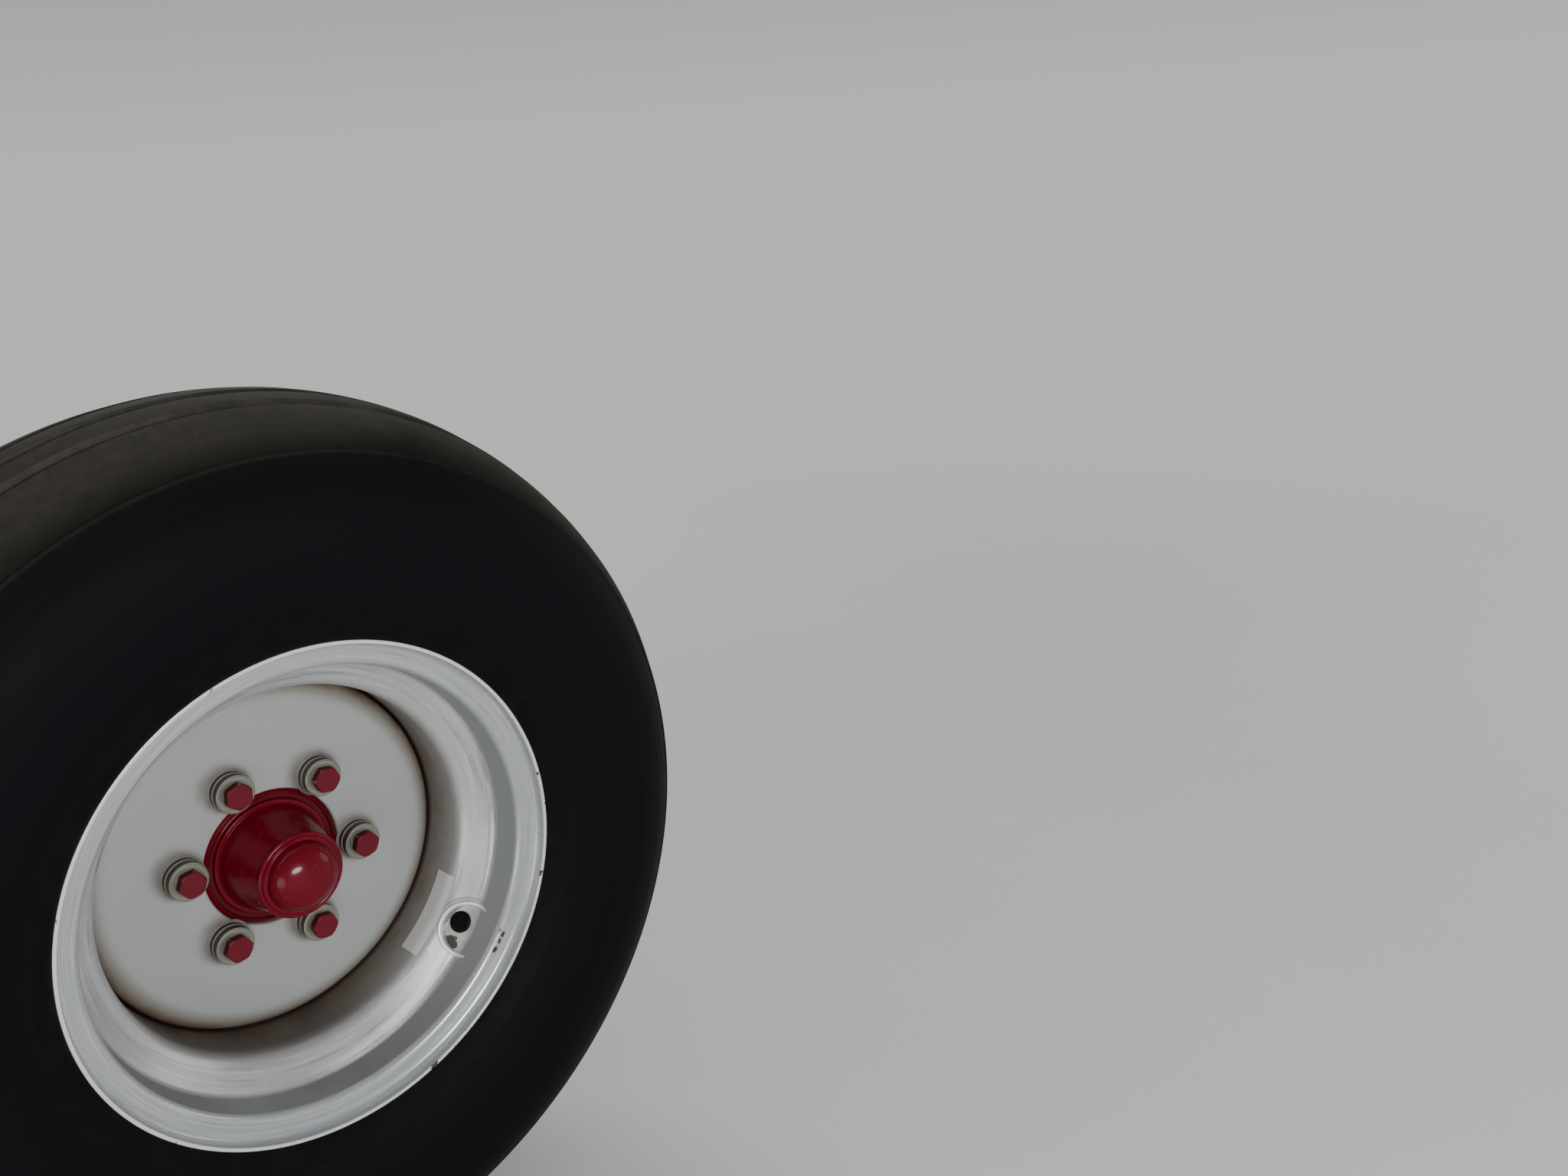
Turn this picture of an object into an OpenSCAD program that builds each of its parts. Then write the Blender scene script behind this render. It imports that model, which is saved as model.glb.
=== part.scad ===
// Ground wheel of a towed farm machine: a rib implement tyre on a drop-centre rim, the pressed
// disc welded in the rim, the six-bolt hub that carries it, and the flanged spindle that the
// hub turns on.
// The wheel turns about Y. The hub cap looks towards -Y, the spindle's flange towards +Y.
// The origin is the centre of the flange's mounting face. Places along the axle are written
// as depths, counted from the rim's cap-side edge towards the mounting face.

/* [Rim] */
// Width of the rim over both flanges
rim_width = 232.2; // [205:0.1:260]
// Thickness of the rim sheet
rim_sheet = 3; // [2.6:0.1:4]
// Height of the flanges over the bead seat
flange_h = 19.5; // [17:0.1:22]
// Reach of the curled flange, from its wall on the tyre's side to its edge
flange_reach = 14.5; // [12.5:0.1:17]
// Bend radius of the curled flange, at the middle of the sheet
curl_r = 8.5; // [6:0.1:10]
// Radius of the bead seat at its heel, on the tyre's side
bead_seat_r = 188.8; // [187:0.1:191]
// Fall of the bead seat from heel to hump
bead_fall = 2.8; // [1:0.1:5]
// Width of the bead seat
bead_width = 32.3; // [26:0.1:36]
// Bend radius between the flange's wall and the bead seat
heel_bend = 5; // [3.5:0.1:7]
// Bend radius between the bead seat and the slope
hump_bend = 8.5; // [5:0.1:11]
// Drop of the well's inside under the bead seat
well_drop = 31.8; // [28:0.1:36]
// Axial reach of the slope between bead seat and well
slope_reach = 19.8; // [16:0.1:26]
// Bend radius between the slope and the well
well_bend = 13.5; // [8:0.1:18]

/* [Valve pocket] */
// Radius of the pressed pocket
pocket_r = 23.7; // [20:0.1:25]
// Tilt of the pocket's floor from the wheel's plane
pocket_tilt = 60; // [54:1:64]
// Distance of the pocket's centre from the edge of the bead seat
pocket_offset = 1.5; // [0:0.5:3]
// Distance of the valve hole from the edge of the bead seat
valve_offset = 11.4; // [10.8:0.1:13]
// Distance of the valve hole from the pocket's middle, along the rim
valve_shift = 3.3; // [0:0.1:5]
// Radius of the valve hole
valve_hole_r = 8; // [6:0.1:8.5]
// Position of the pockets round the axle, from +X towards +Z
pocket_angle = -41.5; // [-180:0.5:180]

/* [Wheel disc] */
// Thickness of the disc
disc_t = 6.4; // [5:0.1:8]
// Depth of the disc's face behind the rim's edge
disc_depth = 102.5; // [92:0.5:112]
// Bend radius of the disc's turned edge, on the outside
disc_bend = 21; // [14:0.5:28]
// Length of the disc's skirt behind its bend
skirt_len = 16; // [10:0.5:22]
// Distance of the centre hole's edge from the bolt circle
pilot_web = 16.8; // [16.6:0.1:19]
// Chamfer round the centre hole
bore_chamfer = 1; // [0.5:0.1:2]
// Height of the weld behind the skirt
weld_leg = 6; // [3:0.5:8]

/* [Wheel bolts] */
// Number of wheel bolts
bolt_count = 6; // [6:1:6]
// Diameter of the bolt circle
bolt_circle = 152.4; // [152:0.1:156]
// Position of the first bolt round the axle, from +X towards +Z
bolt_angle = -12; // [-60:0.5:60]
// Radius of the bolt shank
shank_r = 6.4; // [6:0.1:8]
// Width of the hex head across its flats
head_af = 20.6; // [19:0.1:24]
// Height of the hex head
head_h = 7.8; // [7:0.1:12]
// Reach of the bolt behind the hub's flange
bolt_end = 4; // [2:0.5:10]
// Radius of the cone washer
washer_r = 16.3; // [15.5:0.1:16.6]
// Height of the cone washer over its seat
washer_h = 12.7; // [9:0.1:14]
// Height of the washer's foot under its groove
foot_h = 4.8; // [2:0.1:6]
// Width of the washer's foot outside its ring
foot_step = 0.6; // [0.2:0.1:0.8]
// Height of the washer's groove
washer_groove_h = 1.5; // [0.8:0.1:1.8]
// Depth of the washer's groove
washer_groove_d = 1.4; // [0.8:0.1:2]
// Chamfer round the washer's front
washer_chamfer = 1.2; // [1:0.1:2.6]
// Height of the washer's nose in the disc
nose_h = 3.5; // [2.5:0.1:4]
// Radius of the coined seat round each bolt hole
seat_r = 18.5; // [17.5:0.1:21]
// Height of the coined seat
seat_h = 1; // [0.6:0.1:3]
// Radius of the bolt holes in the disc
disc_hole_r = 9; // [8.5:0.1:11]

/* [Hub] */
// Width of the hub's flange outside the bolt circle
hub_flange_w = 15.8; // [12:0.1:20]
// Thickness of the hub's flange
hub_flange_t = 14; // [10:0.5:20]
// Depth of the pilot's front behind the disc's face
pilot_inset = 1.5; // [0:0.1:3]
// Chamfer round the pilot
pilot_chamfer = 3; // [1:0.1:3.4]
// Depth of the channel between pilot and collar
channel_depth = 3; // [1:0.1:5]
// Width of the flat round the pilot's front
pilot_land = 0.5; // [0.3:0.1:2]
// Width of the collar round the front boss
collar_w = 3.7; // [2:0.1:4.4]
// Height of the collar in front of the pilot
collar_h = 1.5; // [0.5:0.1:3]
// Distance of the front boss from the pilot's edge, at the collar
boss_step = 12.6; // [12:0.1:15]
// Radius of the front boss at its end
boss_tip_r = 35.6; // [34:0.1:38]
// Depth of the front boss's end behind the rim's edge
boss_depth = 56; // [50:0.5:64]
// Radius of the hub's back boss
back_boss_r = 50; // [46:0.5:56]
// Depth of the hub's back end behind the rim's edge
hub_back_depth = 190; // [180:0.5:205]

/* [Hub cap] */
// Radius of the cap's bead
cap_bead_r = 37; // [36:0.1:39]
// Thickness of the cap's bead
cap_bead_h = 4.6; // [3:0.1:6]
// Radius of the cap's dome
cap_dome_r = 29.5; // [28:0.1:31]
// Height of the cap over the hub's end
cap_h = 24; // [18:0.5:32]
// Thickness of the cap's sheet
cap_sheet = 1.6; // [1:0.1:2.2]
// Depth of the cap's skirt in the hub
cap_skirt = 9; // [5:0.5:12]

/* [Spindle] */
// Radius of the outer journal
outer_journal_r = 15.9; // [13:0.1:18]
// Radius of the inner journal
inner_journal_r = 20.6; // [18:0.1:23]
// Length of each journal
journal_len = 22; // [16:0.5:28]
// Radius of the spindle bar
bar_r = 25.4; // [24:0.1:28]
// Width of the grease seal
seal_w = 10; // [7:0.5:14]
// Radius of the grease seal
seal_r = 36; // [34:0.5:40]
// Depth of the mounting face behind the rim's edge
mount_depth = 290; // [280:1:330]
// Width and height of the spindle's flange
flange_side = 127; // [118:1:150]
// Thickness of the spindle's flange
flange_t = 12.7; // [10:0.1:20]
// Distance between the flange's bolt holes
flange_pitch = 92; // [86:1:96]
// Radius of the flange's bolt holes
flange_hole_r = 8.7; // [7:0.1:10]
// Corner radius of the flange
flange_corner = 14; // [8:1:18]
// Height of the weld in front of the flange
flange_weld_leg = 7; // [4:0.5:9]

/* [Tyre] */
// Overall diameter of the tyre
tyre_od = 787; // [770:1:820]
// Width of the inflated section
section_width = 280; // [270:1:292]
// Radius of the widest part of the section
widest_r = 285; // [278:1:292]
// Half width of the tread between its edges
tread_half = 86; // [80:1:90]
// Drop of the tread from crown to edge
crown_drop = 20.2; // [15:0.1:24]
// Half width over the shoulder creases
crease_half = 112; // [108:1:116]
// Drop of the shoulder creases from the crown
crease_drop = 39; // [36:0.5:44]
// Places of the tread grooves from the middle
groove_places = [16, 50];
// Depth of the tread grooves
groove_depth = 10; // [6:0.5:12]
// Width of the tread grooves
groove_width = 11; // [8:0.5:14]
// Thickness of rubber under the grooves
under_tread = 8; // [6:0.5:10]
// Thickness of the sidewall
wall_t = 9; // [7:0.5:11]

/* [Hidden] */
$fn = 96;

// Colours
tyre_black = [0.06, 0.06, 0.065];
rim_silver = [0.72, 0.73, 0.74];
disc_grey = [0.66, 0.68, 0.67];
hub_red = [0.42, 0.03, 0.06];
zinc = [0.62, 0.63, 0.58];
rubber = [0.03, 0.03, 0.03];
steel = [0.45, 0.46, 0.47];

// Clearances, and how far a cutter runs past what it cuts
seat_gap = 0.2;
pilot_gap = 0.4;
tyre_gap = 0.3;
running_gap = 0.05;
thread_gap = 0.05;
cut = 1;

// Broken edge of machined and pressed pieces
edge = 1;

// Angle of arc for each step along a bend
bend_step = 22;

// Radii that follow from the sizes above
flange_r = bead_seat_r + flange_h;
well_r = bead_seat_r - well_drop;
pilot_bore_r = bolt_circle / 2 - pilot_web;
hub_flange_r = bolt_circle / 2 + hub_flange_w;

// Places along the axle
mid_depth = rim_width / 2;
mid_y = mid_depth - mount_depth;
disc_back = disc_depth + disc_t;
hub_flange_back = disc_back + hub_flange_t;
skirt_end = disc_depth + disc_bend + skirt_len;
nut_room = 2;
outer_journal_from = boss_depth + cap_skirt + nut_room;
outer_journal_to = outer_journal_from + journal_len;
inner_journal_to = hub_back_depth - seal_w;
inner_journal_from = inner_journal_to - journal_len;

// The rim's sheet runs along its middle line
half_sheet = rim_sheet / 2;
wall_depth = flange_reach - half_sheet;
curl_top = flange_r - half_sheet;
heel_r = bead_seat_r - half_sheet;
hump_depth = wall_depth + bead_width;
hump_r = heel_r - bead_fall;
well_depth = hump_depth + slope_reach;
well_mid_r = well_r + half_sheet;

// Direction and length helpers for flat points
function unit(v) = v / norm(v);
function left(v) = [-v.y, v.x];
function back_to_front(list) = [for (i = [len(list) - 1:-1:0]) list[i]];
function short_turn(angle) = angle > 180 ? angle - 360 : angle < -180 ? angle + 360 : angle;

// Points of the arc that rounds corner b between a and c with radius r
function bend(a, b, c, r) =
    let (u = unit(a - b), w = unit(c - b))
    let (half = acos(u * w) / 2)
    let (centre = b + unit(u + w) * r / sin(half))
    let (p = b + u * r / tan(half) - centre, q = b + w * r / tan(half) - centre)
    let (start = atan2(p.y, p.x), sweep = short_turn(atan2(q.y, q.x) - start))
    let (steps = max(2, ceil(abs(sweep) / bend_step)))
    [for (i = [0:steps]) centre + r * [cos(start + sweep * i / steps),
        sin(start + sweep * i / steps)]];

// Line through corners [depth, radius, bend radius]
function flat(corner) = [corner[0], corner[1]];
function rounded(corners) = [for (i = [0:len(corners) - 1])
    each corners[i][2] == 0 ? [flat(corners[i])]
        : bend(flat(corners[i - 1]), flat(corners[i]), flat(corners[i + 1]), corners[i][2])];

// The same line moved sideways, and the closed outline of a sheet along it
function heading(line, i) = unit(line[min(i + 1, len(line) - 1)] - line[max(i - 1, 0)]);
function beside(line, by) = [for (i = [0:len(line) - 1]) line[i] + by * left(heading(line, i))];
function sheet(line, t) = concat(beside(line, t / 2), back_to_front(beside(line, -t / 2)));

// Corner i of a line of corners, moved sideways with both of its sides
function corner_beside(corners, i, by) =
    let (b = flat(corners[i]))
    let (u = unit(b - flat(corners[i - 1])), w = unit(flat(corners[i + 1]) - b))
    let (n = unit(left(u) + left(w)))
    b + n * by / (n * left(u));

// Points of an ellipse about a centre, from one angle to another
function oval(centre, semi, from, to, steps) = [for (i = [0:steps])
    let (t = from + (to - from) * i / steps)
    centre + [semi.x * cos(t), semi.y * sin(t)]];

// Quarter-round weld bead in the corner at a point
function fillet(corner, leg) = concat([corner], oval(corner, leg, 0, 90, 4));

// Turned body from an outline of [depth, radius] points
module turned(outline) {
    rotate([-90, 0, 0])
        rotate_extrude()
            polygon([for (p = outline) [p.y, p.x - mount_depth]]);
}

module far_side() {
    translate([0, mid_y, 0])
        mirror([0, 1, 0])
            translate([0, -mid_y, 0])
                children();
}

// Half of the rim's middle line, columns: depth, radius, bend radius
rim_corners = [
    [0, curl_top, 0],
    [wall_depth, curl_top, curl_r],
    [wall_depth, heel_r, heel_bend],
    [hump_depth, hump_r, hump_bend],
    [well_depth, well_mid_r, well_bend],
    [mid_depth, well_mid_r, 0]];
hump_corner = 3;
function far_corners(corners) = [for (c = back_to_front(corners)) [rim_width - c[0], c[1], c[2]]];
function first_ones(list, count) = [for (i = [0:count - 1]) list[i]];
bent_corners = first_ones(rim_corners, hump_corner + 2);
rim_line = rounded(concat(bent_corners, far_corners(bent_corners)));

// Edge of the bead seat, on the axle's side of the sheet
pocket_edge = corner_beside(rim_corners, hump_corner, -half_sheet);

// Places children on the pocket's floor: x towards the flange, z towards the axle
module at_pocket() {
    rotate([0, -pocket_angle, 0])
        translate([pocket_edge.y, pocket_edge.x - mount_depth, 0])
            rotate([0, 0, -pocket_tilt])
                rotate([90, 0, 0])
                    children();
}

// Room behind the middle of the sheet that the pocket's wall may fill
module pocket_room() {
    turned([
        [hump_depth, hump_r],
        [well_depth, well_mid_r],
        [well_depth + pocket_r, well_mid_r],
        [well_depth + pocket_r, bead_seat_r],
        [hump_depth, bead_seat_r]]);
}

module pocket_wall() {
    intersection() {
        pocket_room();
        at_pocket()
            translate([-pocket_offset, 0, -rim_sheet])
                cylinder(r = pocket_r + rim_sheet, h = pocket_r);
    }
}

module pocket_hollow() {
    difference() {
        at_pocket()
            translate([-pocket_offset, 0, 0])
                cylinder(r = pocket_r, h = 2 * pocket_r);
        turned([
            [0, 0],
            [pocket_edge.x, 0],
            [pocket_edge.x, flange_r],
            [0, flange_r]]);
    }
}

module at_valve() {
    at_pocket()
        translate([-valve_offset, valve_shift, 0])
            children();
}

module valve_hole() {
    at_valve()
        translate([0, 0, -rim_sheet - cut])
            cylinder(r = valve_hole_r, h = rim_sheet + 2 * cut);
}

module rim() {
    color(rim_silver)
        difference() {
            union() {
                turned(sheet(rim_line, rim_sheet));
                pocket_wall();
                far_side() pocket_wall();
            }
            pocket_hollow();
            valve_hole();
            far_side() pocket_hollow();
            far_side() valve_hole();
        }
}

// Bolt places, z from the disc's face towards the cap side
module at_bolt(i) {
    angle = bolt_angle + i * 360 / bolt_count;
    translate([bolt_circle / 2 * cos(angle), disc_depth - mount_depth, bolt_circle / 2 * sin(angle)])
        rotate([90, 0, 0])
            children();
}

// The disc's skirt stands in the well
skirt_mid_r = well_r - seat_gap - disc_t / 2;
disc_corners = [
    [disc_depth + disc_t / 2, pilot_bore_r - cut, 0],
    [disc_depth + disc_t / 2, skirt_mid_r, disc_bend - disc_t / 2],
    [skirt_end, skirt_mid_r, 0]];

// The washer's nose sits in a 45 degree countersink
sink_r = disc_hole_r + nose_h;

module wheel_disc() {
    color(disc_grey)
        difference() {
            union() {
                turned(sheet(rounded(disc_corners), disc_t));
                for (i = [0:bolt_count - 1])
                    at_bolt(i)
                        cylinder(r1 = seat_r, r2 = seat_r - seat_h, h = seat_h);
            }
            turned([
                [disc_depth - seat_h - cut, 0],
                [disc_depth - seat_h - cut, pilot_bore_r + bore_chamfer],
                [disc_depth, pilot_bore_r + bore_chamfer],
                [disc_depth + bore_chamfer, pilot_bore_r],
                [disc_back + cut, pilot_bore_r],
                [disc_back + cut, 0]]);
            for (i = [0:bolt_count - 1])
                at_bolt(i) {
                    translate([0, 0, -disc_t - cut])
                        cylinder(r = disc_hole_r, h = disc_t + seat_h + 2 * cut);
                    translate([0, 0, seat_h - nose_h])
                        cylinder(r1 = disc_hole_r, r2 = sink_r + cut, h = nose_h + cut);
                }
        }
}

module disc_weld() {
    color(disc_grey)
        turned(fillet([skirt_end, well_r - seat_gap], [weld_leg, -weld_leg]));
}

// Hub front, from the pilot in the disc to the collar round the boss
pilot_r = pilot_bore_r - pilot_gap;
pilot_front = disc_depth + pilot_inset;
channel_floor = pilot_front + channel_depth;
channel_r = pilot_r - pilot_chamfer - pilot_land;
collar_front = pilot_front - collar_h;
boss_base_r = pilot_r - boss_step;
collar_r = boss_base_r + collar_w;

// Hub inside, closed by the cap and the seal
boss_wall = 4;
cap_seat_r = boss_tip_r - boss_wall;
outer_bore_r = outer_journal_r + running_gap;
inner_bore_r = inner_journal_r + running_gap;
hub_cavity_r = inner_bore_r + 6;
cavity_taper = 8;
back_fillet = 8;
back_chamfer = 2;

hub_outline = [
    [boss_depth, cap_seat_r],
    [boss_depth, boss_tip_r - edge],
    [boss_depth + edge, boss_tip_r],
    [pilot_front, boss_base_r],
    [collar_front + edge / 2, boss_base_r + edge / 2],
    [collar_front, boss_base_r + edge],
    [collar_front, collar_r - edge],
    [collar_front + edge, collar_r],
    [channel_floor, collar_r],
    [channel_floor, channel_r],
    [pilot_front, channel_r],
    [pilot_front, pilot_r - pilot_chamfer],
    [pilot_front + pilot_chamfer, pilot_r],
    [disc_back, pilot_r],
    [disc_back, hub_flange_r - edge],
    [disc_back + edge, hub_flange_r],
    [hub_flange_back - edge, hub_flange_r],
    [hub_flange_back, hub_flange_r - edge],
    [hub_flange_back, back_boss_r + back_fillet],
    [hub_flange_back + back_fillet, back_boss_r],
    [hub_back_depth - back_chamfer, back_boss_r],
    [hub_back_depth, back_boss_r - back_chamfer],
    [hub_back_depth, seal_r],
    [inner_journal_to, seal_r],
    [inner_journal_to, inner_bore_r],
    [inner_journal_from, inner_bore_r],
    [inner_journal_from, hub_cavity_r],
    [outer_journal_to + cavity_taper, hub_cavity_r],
    [outer_journal_to, outer_bore_r],
    [outer_journal_from, outer_bore_r],
    [outer_journal_from, cap_seat_r]];

module hub() {
    color(hub_red)
        difference() {
            turned(hub_outline);
            for (i = [0:bolt_count - 1])
                at_bolt(i)
                    translate([0, 0, -disc_t - hub_flange_t - cut])
                        cylinder(r = shank_r + thread_gap, h = hub_flange_t + 2 * cut);
        }
}

// The cap's bead rests on the boss, its dome rises from a groove inside the bead
cap_skirt_r = cap_seat_r - seat_gap;
bead_half = cap_bead_h / 2;
dome_depth = boss_depth - cap_bead_h - edge;
cap_groove_depth = dome_depth + 2 * edge;
cap_groove_r = cap_bead_r - cap_bead_h + edge;
dome_h = cap_h - cap_bead_h - edge;

module hub_cap() {
    color(hub_red)
        turned(concat(
            [[boss_depth + cap_skirt, cap_skirt_r - cap_sheet],
                [boss_depth + cap_skirt, cap_skirt_r],
                [boss_depth, cap_skirt_r]],
            oval([boss_depth - bead_half, cap_bead_r - bead_half], [bead_half, bead_half], 0, 180, 6),
            [[cap_groove_depth, cap_groove_r],
                [cap_groove_depth, cap_dome_r + edge]],
            oval([dome_depth, 0], [-dome_h, cap_dome_r], 90, 0, 8),
            oval([dome_depth, 0], [-dome_h + cap_sheet, cap_dome_r - cap_sheet], 0, 90, 6)));
}

// The seal fills the hub's back end, its lip points outwards along the bar
seal_front = inner_journal_to + edge;
seal_lip_h = 4;
seal_lip_w = 3;
seal_lip_gap = 0.3;

module grease_seal() {
    color(rubber)
        turned([
            [seal_front, seal_r - seat_gap],
            [hub_back_depth, seal_r - seat_gap],
            [hub_back_depth, seal_r - seal_lip_w],
            [hub_back_depth - 2 * edge, seal_r - seal_lip_w - edge],
            [hub_back_depth - 2 * edge, bar_r + 2 * edge],
            [hub_back_depth, bar_r + seal_lip_gap],
            [hub_back_depth - 2 * edge, bar_r + seal_lip_gap],
            [hub_back_depth - seal_lip_h, bar_r + seal_lip_w],
            [seal_front, bar_r + seal_lip_w + edge]]);
}

// Turned piece that stands in a valve hole, from an outline of [radius, height] points
module valve_piece(outline) {
    at_valve()
        rotate_extrude()
            polygon(outline);
}

// The plug and the stem snap into the hole with a neck and a barb
plug_r = valve_hole_r + 1.8;
plug_top = 2.4;
neck_r = valve_hole_r - 0.1;
barb_r = plug_r - edge;
barb_h = 4;
barb_tip_r = neck_r - 2;
snap = [
    [0, -rim_sheet - edge - barb_h],
    [barb_tip_r, -rim_sheet - edge - barb_h],
    [barb_r, -rim_sheet - edge],
    [barb_r, -rim_sheet],
    [neck_r, -rim_sheet],
    [neck_r, 0],
    [plug_r, 0]];

module valve_plug() {
    color(rubber)
        valve_piece(concat(snap, [
            [plug_r, plug_top / 2],
            [barb_r, plug_top - edge / 2],
            [plug_r / 2, plug_top],
            [0, plug_top]]));
}

// Stem with a foot, a waist and a thread under the cap
stem_r = 4;
stem_h = 34;
foot_r = stem_r + 2.2;
stem_foot_h = 8;
waist_r = stem_r + 1.5;
thread_r = stem_r - 0.6;
valve_cap_r = stem_r + 1;
valve_cap_h = 11;
valve_cap_top = 2;
thread_from = stem_h - valve_cap_h;
thread_to = stem_h - valve_cap_top - edge;

module valve_stem() {
    color(rubber)
        far_side()
            valve_piece(concat(snap, [
                [plug_r, plug_top],
                [foot_r, stem_foot_h],
                [waist_r, thread_from - edge],
                [thread_r, thread_from],
                [thread_r, thread_to],
                [0, thread_to]]));
}

module valve_cap() {
    color(rubber)
        far_side()
            valve_piece([
                [thread_r + seat_gap, thread_from + seat_gap],
                [valve_cap_r, thread_from + seat_gap],
                [valve_cap_r, stem_h - valve_cap_top],
                [valve_cap_r - edge, stem_h],
                [0, stem_h],
                [0, thread_to + seat_gap],
                [thread_r + seat_gap, thread_to + seat_gap]]);
}

// Flat round face on the hex head, and the rise of the cone that breaks its corners
head_base = seat_h + washer_h;
head_face_r = 0.47 * head_af;
corner_cone = 60;
hex_sides = 6;

module wheel_bolt(i) {
    color(hub_red)
        at_bolt(i) {
            intersection() {
                translate([0, 0, head_base])
                    cylinder(r = head_af / 2 / cos(180 / hex_sides), h = head_h, $fn = hex_sides);
                translate([0, 0, head_base - cut])
                    cylinder(r1 = head_face_r + (head_h + cut) * tan(corner_cone), r2 = head_face_r,
                        h = head_h + cut);
            }
            translate([0, 0, -disc_t - hub_flange_t - bolt_end])
                cylinder(r = shank_r, h = disc_t + hub_flange_t + bolt_end + head_base);
        }
}

washer_bore_r = shank_r + 0.4;
nose_r = sink_r - seat_gap;
nose_foot = seat_h - nose_h + edge;
washer_foot_r = washer_r + foot_step;
groove_foot = seat_h + foot_h;
groove_top = groove_foot + washer_groove_h;

module cone_washer(i) {
    color(zinc)
        at_bolt(i)
            rotate_extrude()
                polygon([
                    [washer_bore_r, nose_foot],
                    [nose_r - nose_h + edge, nose_foot],
                    [nose_r, seat_h],
                    [washer_foot_r, seat_h],
                    [washer_foot_r, groove_foot],
                    [washer_r - washer_groove_d, groove_foot],
                    [washer_r - washer_groove_d, groove_top],
                    [washer_r, groove_top],
                    [washer_r, head_base - washer_chamfer],
                    [washer_r - washer_chamfer, head_base],
                    [washer_bore_r, head_base]]);
}

// The spindle's nut end stays clear of the cap, its other end is flush with the flange
tip_setback = 3;
tip_depth = boss_depth + tip_setback;
bar_chamfer = 2;

spindle_outline = [
    [tip_depth, 0],
    [tip_depth, outer_journal_r - edge - bar_chamfer],
    [tip_depth + bar_chamfer, outer_journal_r - edge],
    [outer_journal_from, outer_journal_r - edge],
    [outer_journal_from, outer_journal_r],
    [outer_journal_to, outer_journal_r],
    [inner_journal_from, inner_journal_r - edge],
    [inner_journal_from, inner_journal_r],
    [seal_front, inner_journal_r],
    [seal_front, bar_r],
    [mount_depth - bar_chamfer, bar_r],
    [mount_depth, bar_r - bar_chamfer],
    [mount_depth, 0]];

module spindle() {
    color(steel)
        turned(spindle_outline);
}

module rounded_square(side, corner) {
    square([side - 2 * corner, side], center = true);
    square([side, side - 2 * corner], center = true);
    for (x = [-1, 1], y = [-1, 1])
        translate([x * (side / 2 - corner), y * (side / 2 - corner)])
            circle(r = corner);
}

module spindle_flange() {
    color(hub_red)
        rotate([90, 0, 0])
            linear_extrude(flange_t)
                difference() {
                    rounded_square(flange_side, flange_corner);
                    circle(r = bar_r + seat_gap);
                    for (x = [-1, 1], y = [-1, 1])
                        translate([x * flange_pitch / 2, y * flange_pitch / 2])
                            circle(r = flange_hole_r);
                }
}

module flange_weld() {
    color(hub_red)
        turned(fillet([mount_depth - flange_t, bar_r + seat_gap],
            [-flange_weld_leg, flange_weld_leg]));
}

// Tread, as [distance from the middle plane, radius]
tyre_r = tyre_od / 2;
tread_edge_r = tyre_r - crown_drop;
crease_r = tyre_r - crease_drop;
groove_draft = 1.2;
function crown_at(x) = tyre_r - crown_drop * pow(x / tread_half, 2);
function groove_points(x) = [
    [x - groove_width / 2, crown_at(x - groove_width / 2)],
    [x - groove_width / 2 + groove_draft, crown_at(x) - groove_depth],
    [x + groove_width / 2 - groove_draft, crown_at(x) - groove_depth],
    [x + groove_width / 2, crown_at(x + groove_width / 2)]];
function middle_of(p, q, rise) = (p + q) / 2 + [0, rise];
tread_edge = [tread_half, tread_edge_r];
crease = [crease_half, crease_r];

// Upper sidewall, an oval from the crease to the widest part
half_section = section_width / 2;
upper_centre = 0.72 * crease_half;
upper_start = acos((crease_half - upper_centre) / (half_section - upper_centre));
upper_rise = (crease_r - widest_r) / sin(upper_start);

// Lower sidewall, an oval from the widest part to the flange's edge
lip_r = flange_r + tyre_gap;
lower_centre = 0.86 * mid_depth;
lower_end = acos((mid_depth - lower_centre) / (half_section - lower_centre));
lower_drop = (widest_r - lip_r) / sin(lower_end);

// The rubber follows the curled flange, down to a bead on the tapered seat
curl_x = mid_depth - wall_depth + curl_r;
curl_room = curl_r + half_sheet + tyre_gap;
bead_x = curl_x - curl_room;
bead_chamfer = heel_bend;
toe_x = mid_depth - hump_depth + 4;
bead_h = 16;
function base_at(x) = bead_seat_r + tyre_gap
    - bead_fall * (mid_depth - wall_depth - x) / bead_width;

tyre_outside = concat(
    [[0, tyre_r]],
    [for (x = groove_places) each groove_points(x)],
    [tread_edge, middle_of(tread_edge, crease, edge)],
    oval([upper_centre, widest_r], [half_section - upper_centre, upper_rise], upper_start, 0, 4),
    oval([lower_centre, widest_r], [half_section - lower_centre, -lower_drop],
        lower_end / 4, lower_end, 3),
    oval([curl_x, flange_r - half_sheet - curl_r], [-curl_room, curl_room], 90, 0, 4),
    [[bead_x, bead_seat_r + bead_chamfer],
        [bead_x - bead_chamfer, base_at(bead_x - bead_chamfer)],
        [toe_x, base_at(toe_x)]]);

// Inside of the tyre, a wall's thickness within the outside
lining = groove_depth + under_tread;
function inside_at(x) = [x, crown_at(x) - lining];
tyre_inside = concat(
    [[toe_x + edge, base_at(toe_x) + bead_h]],
    back_to_front(oval([lower_centre, widest_r],
        [half_section - lower_centre - wall_t, -lower_drop + wall_t], 0, lower_end, 2)),
    oval([upper_centre, widest_r],
        [half_section - upper_centre - wall_t, upper_rise - wall_t],
        upper_start / 2, upper_start, 1),
    [inside_at(groove_places[1] + lining), inside_at(groove_places[1]), [0, tyre_r - lining]]);

tyre_half = concat(tyre_outside, tyre_inside);

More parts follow.
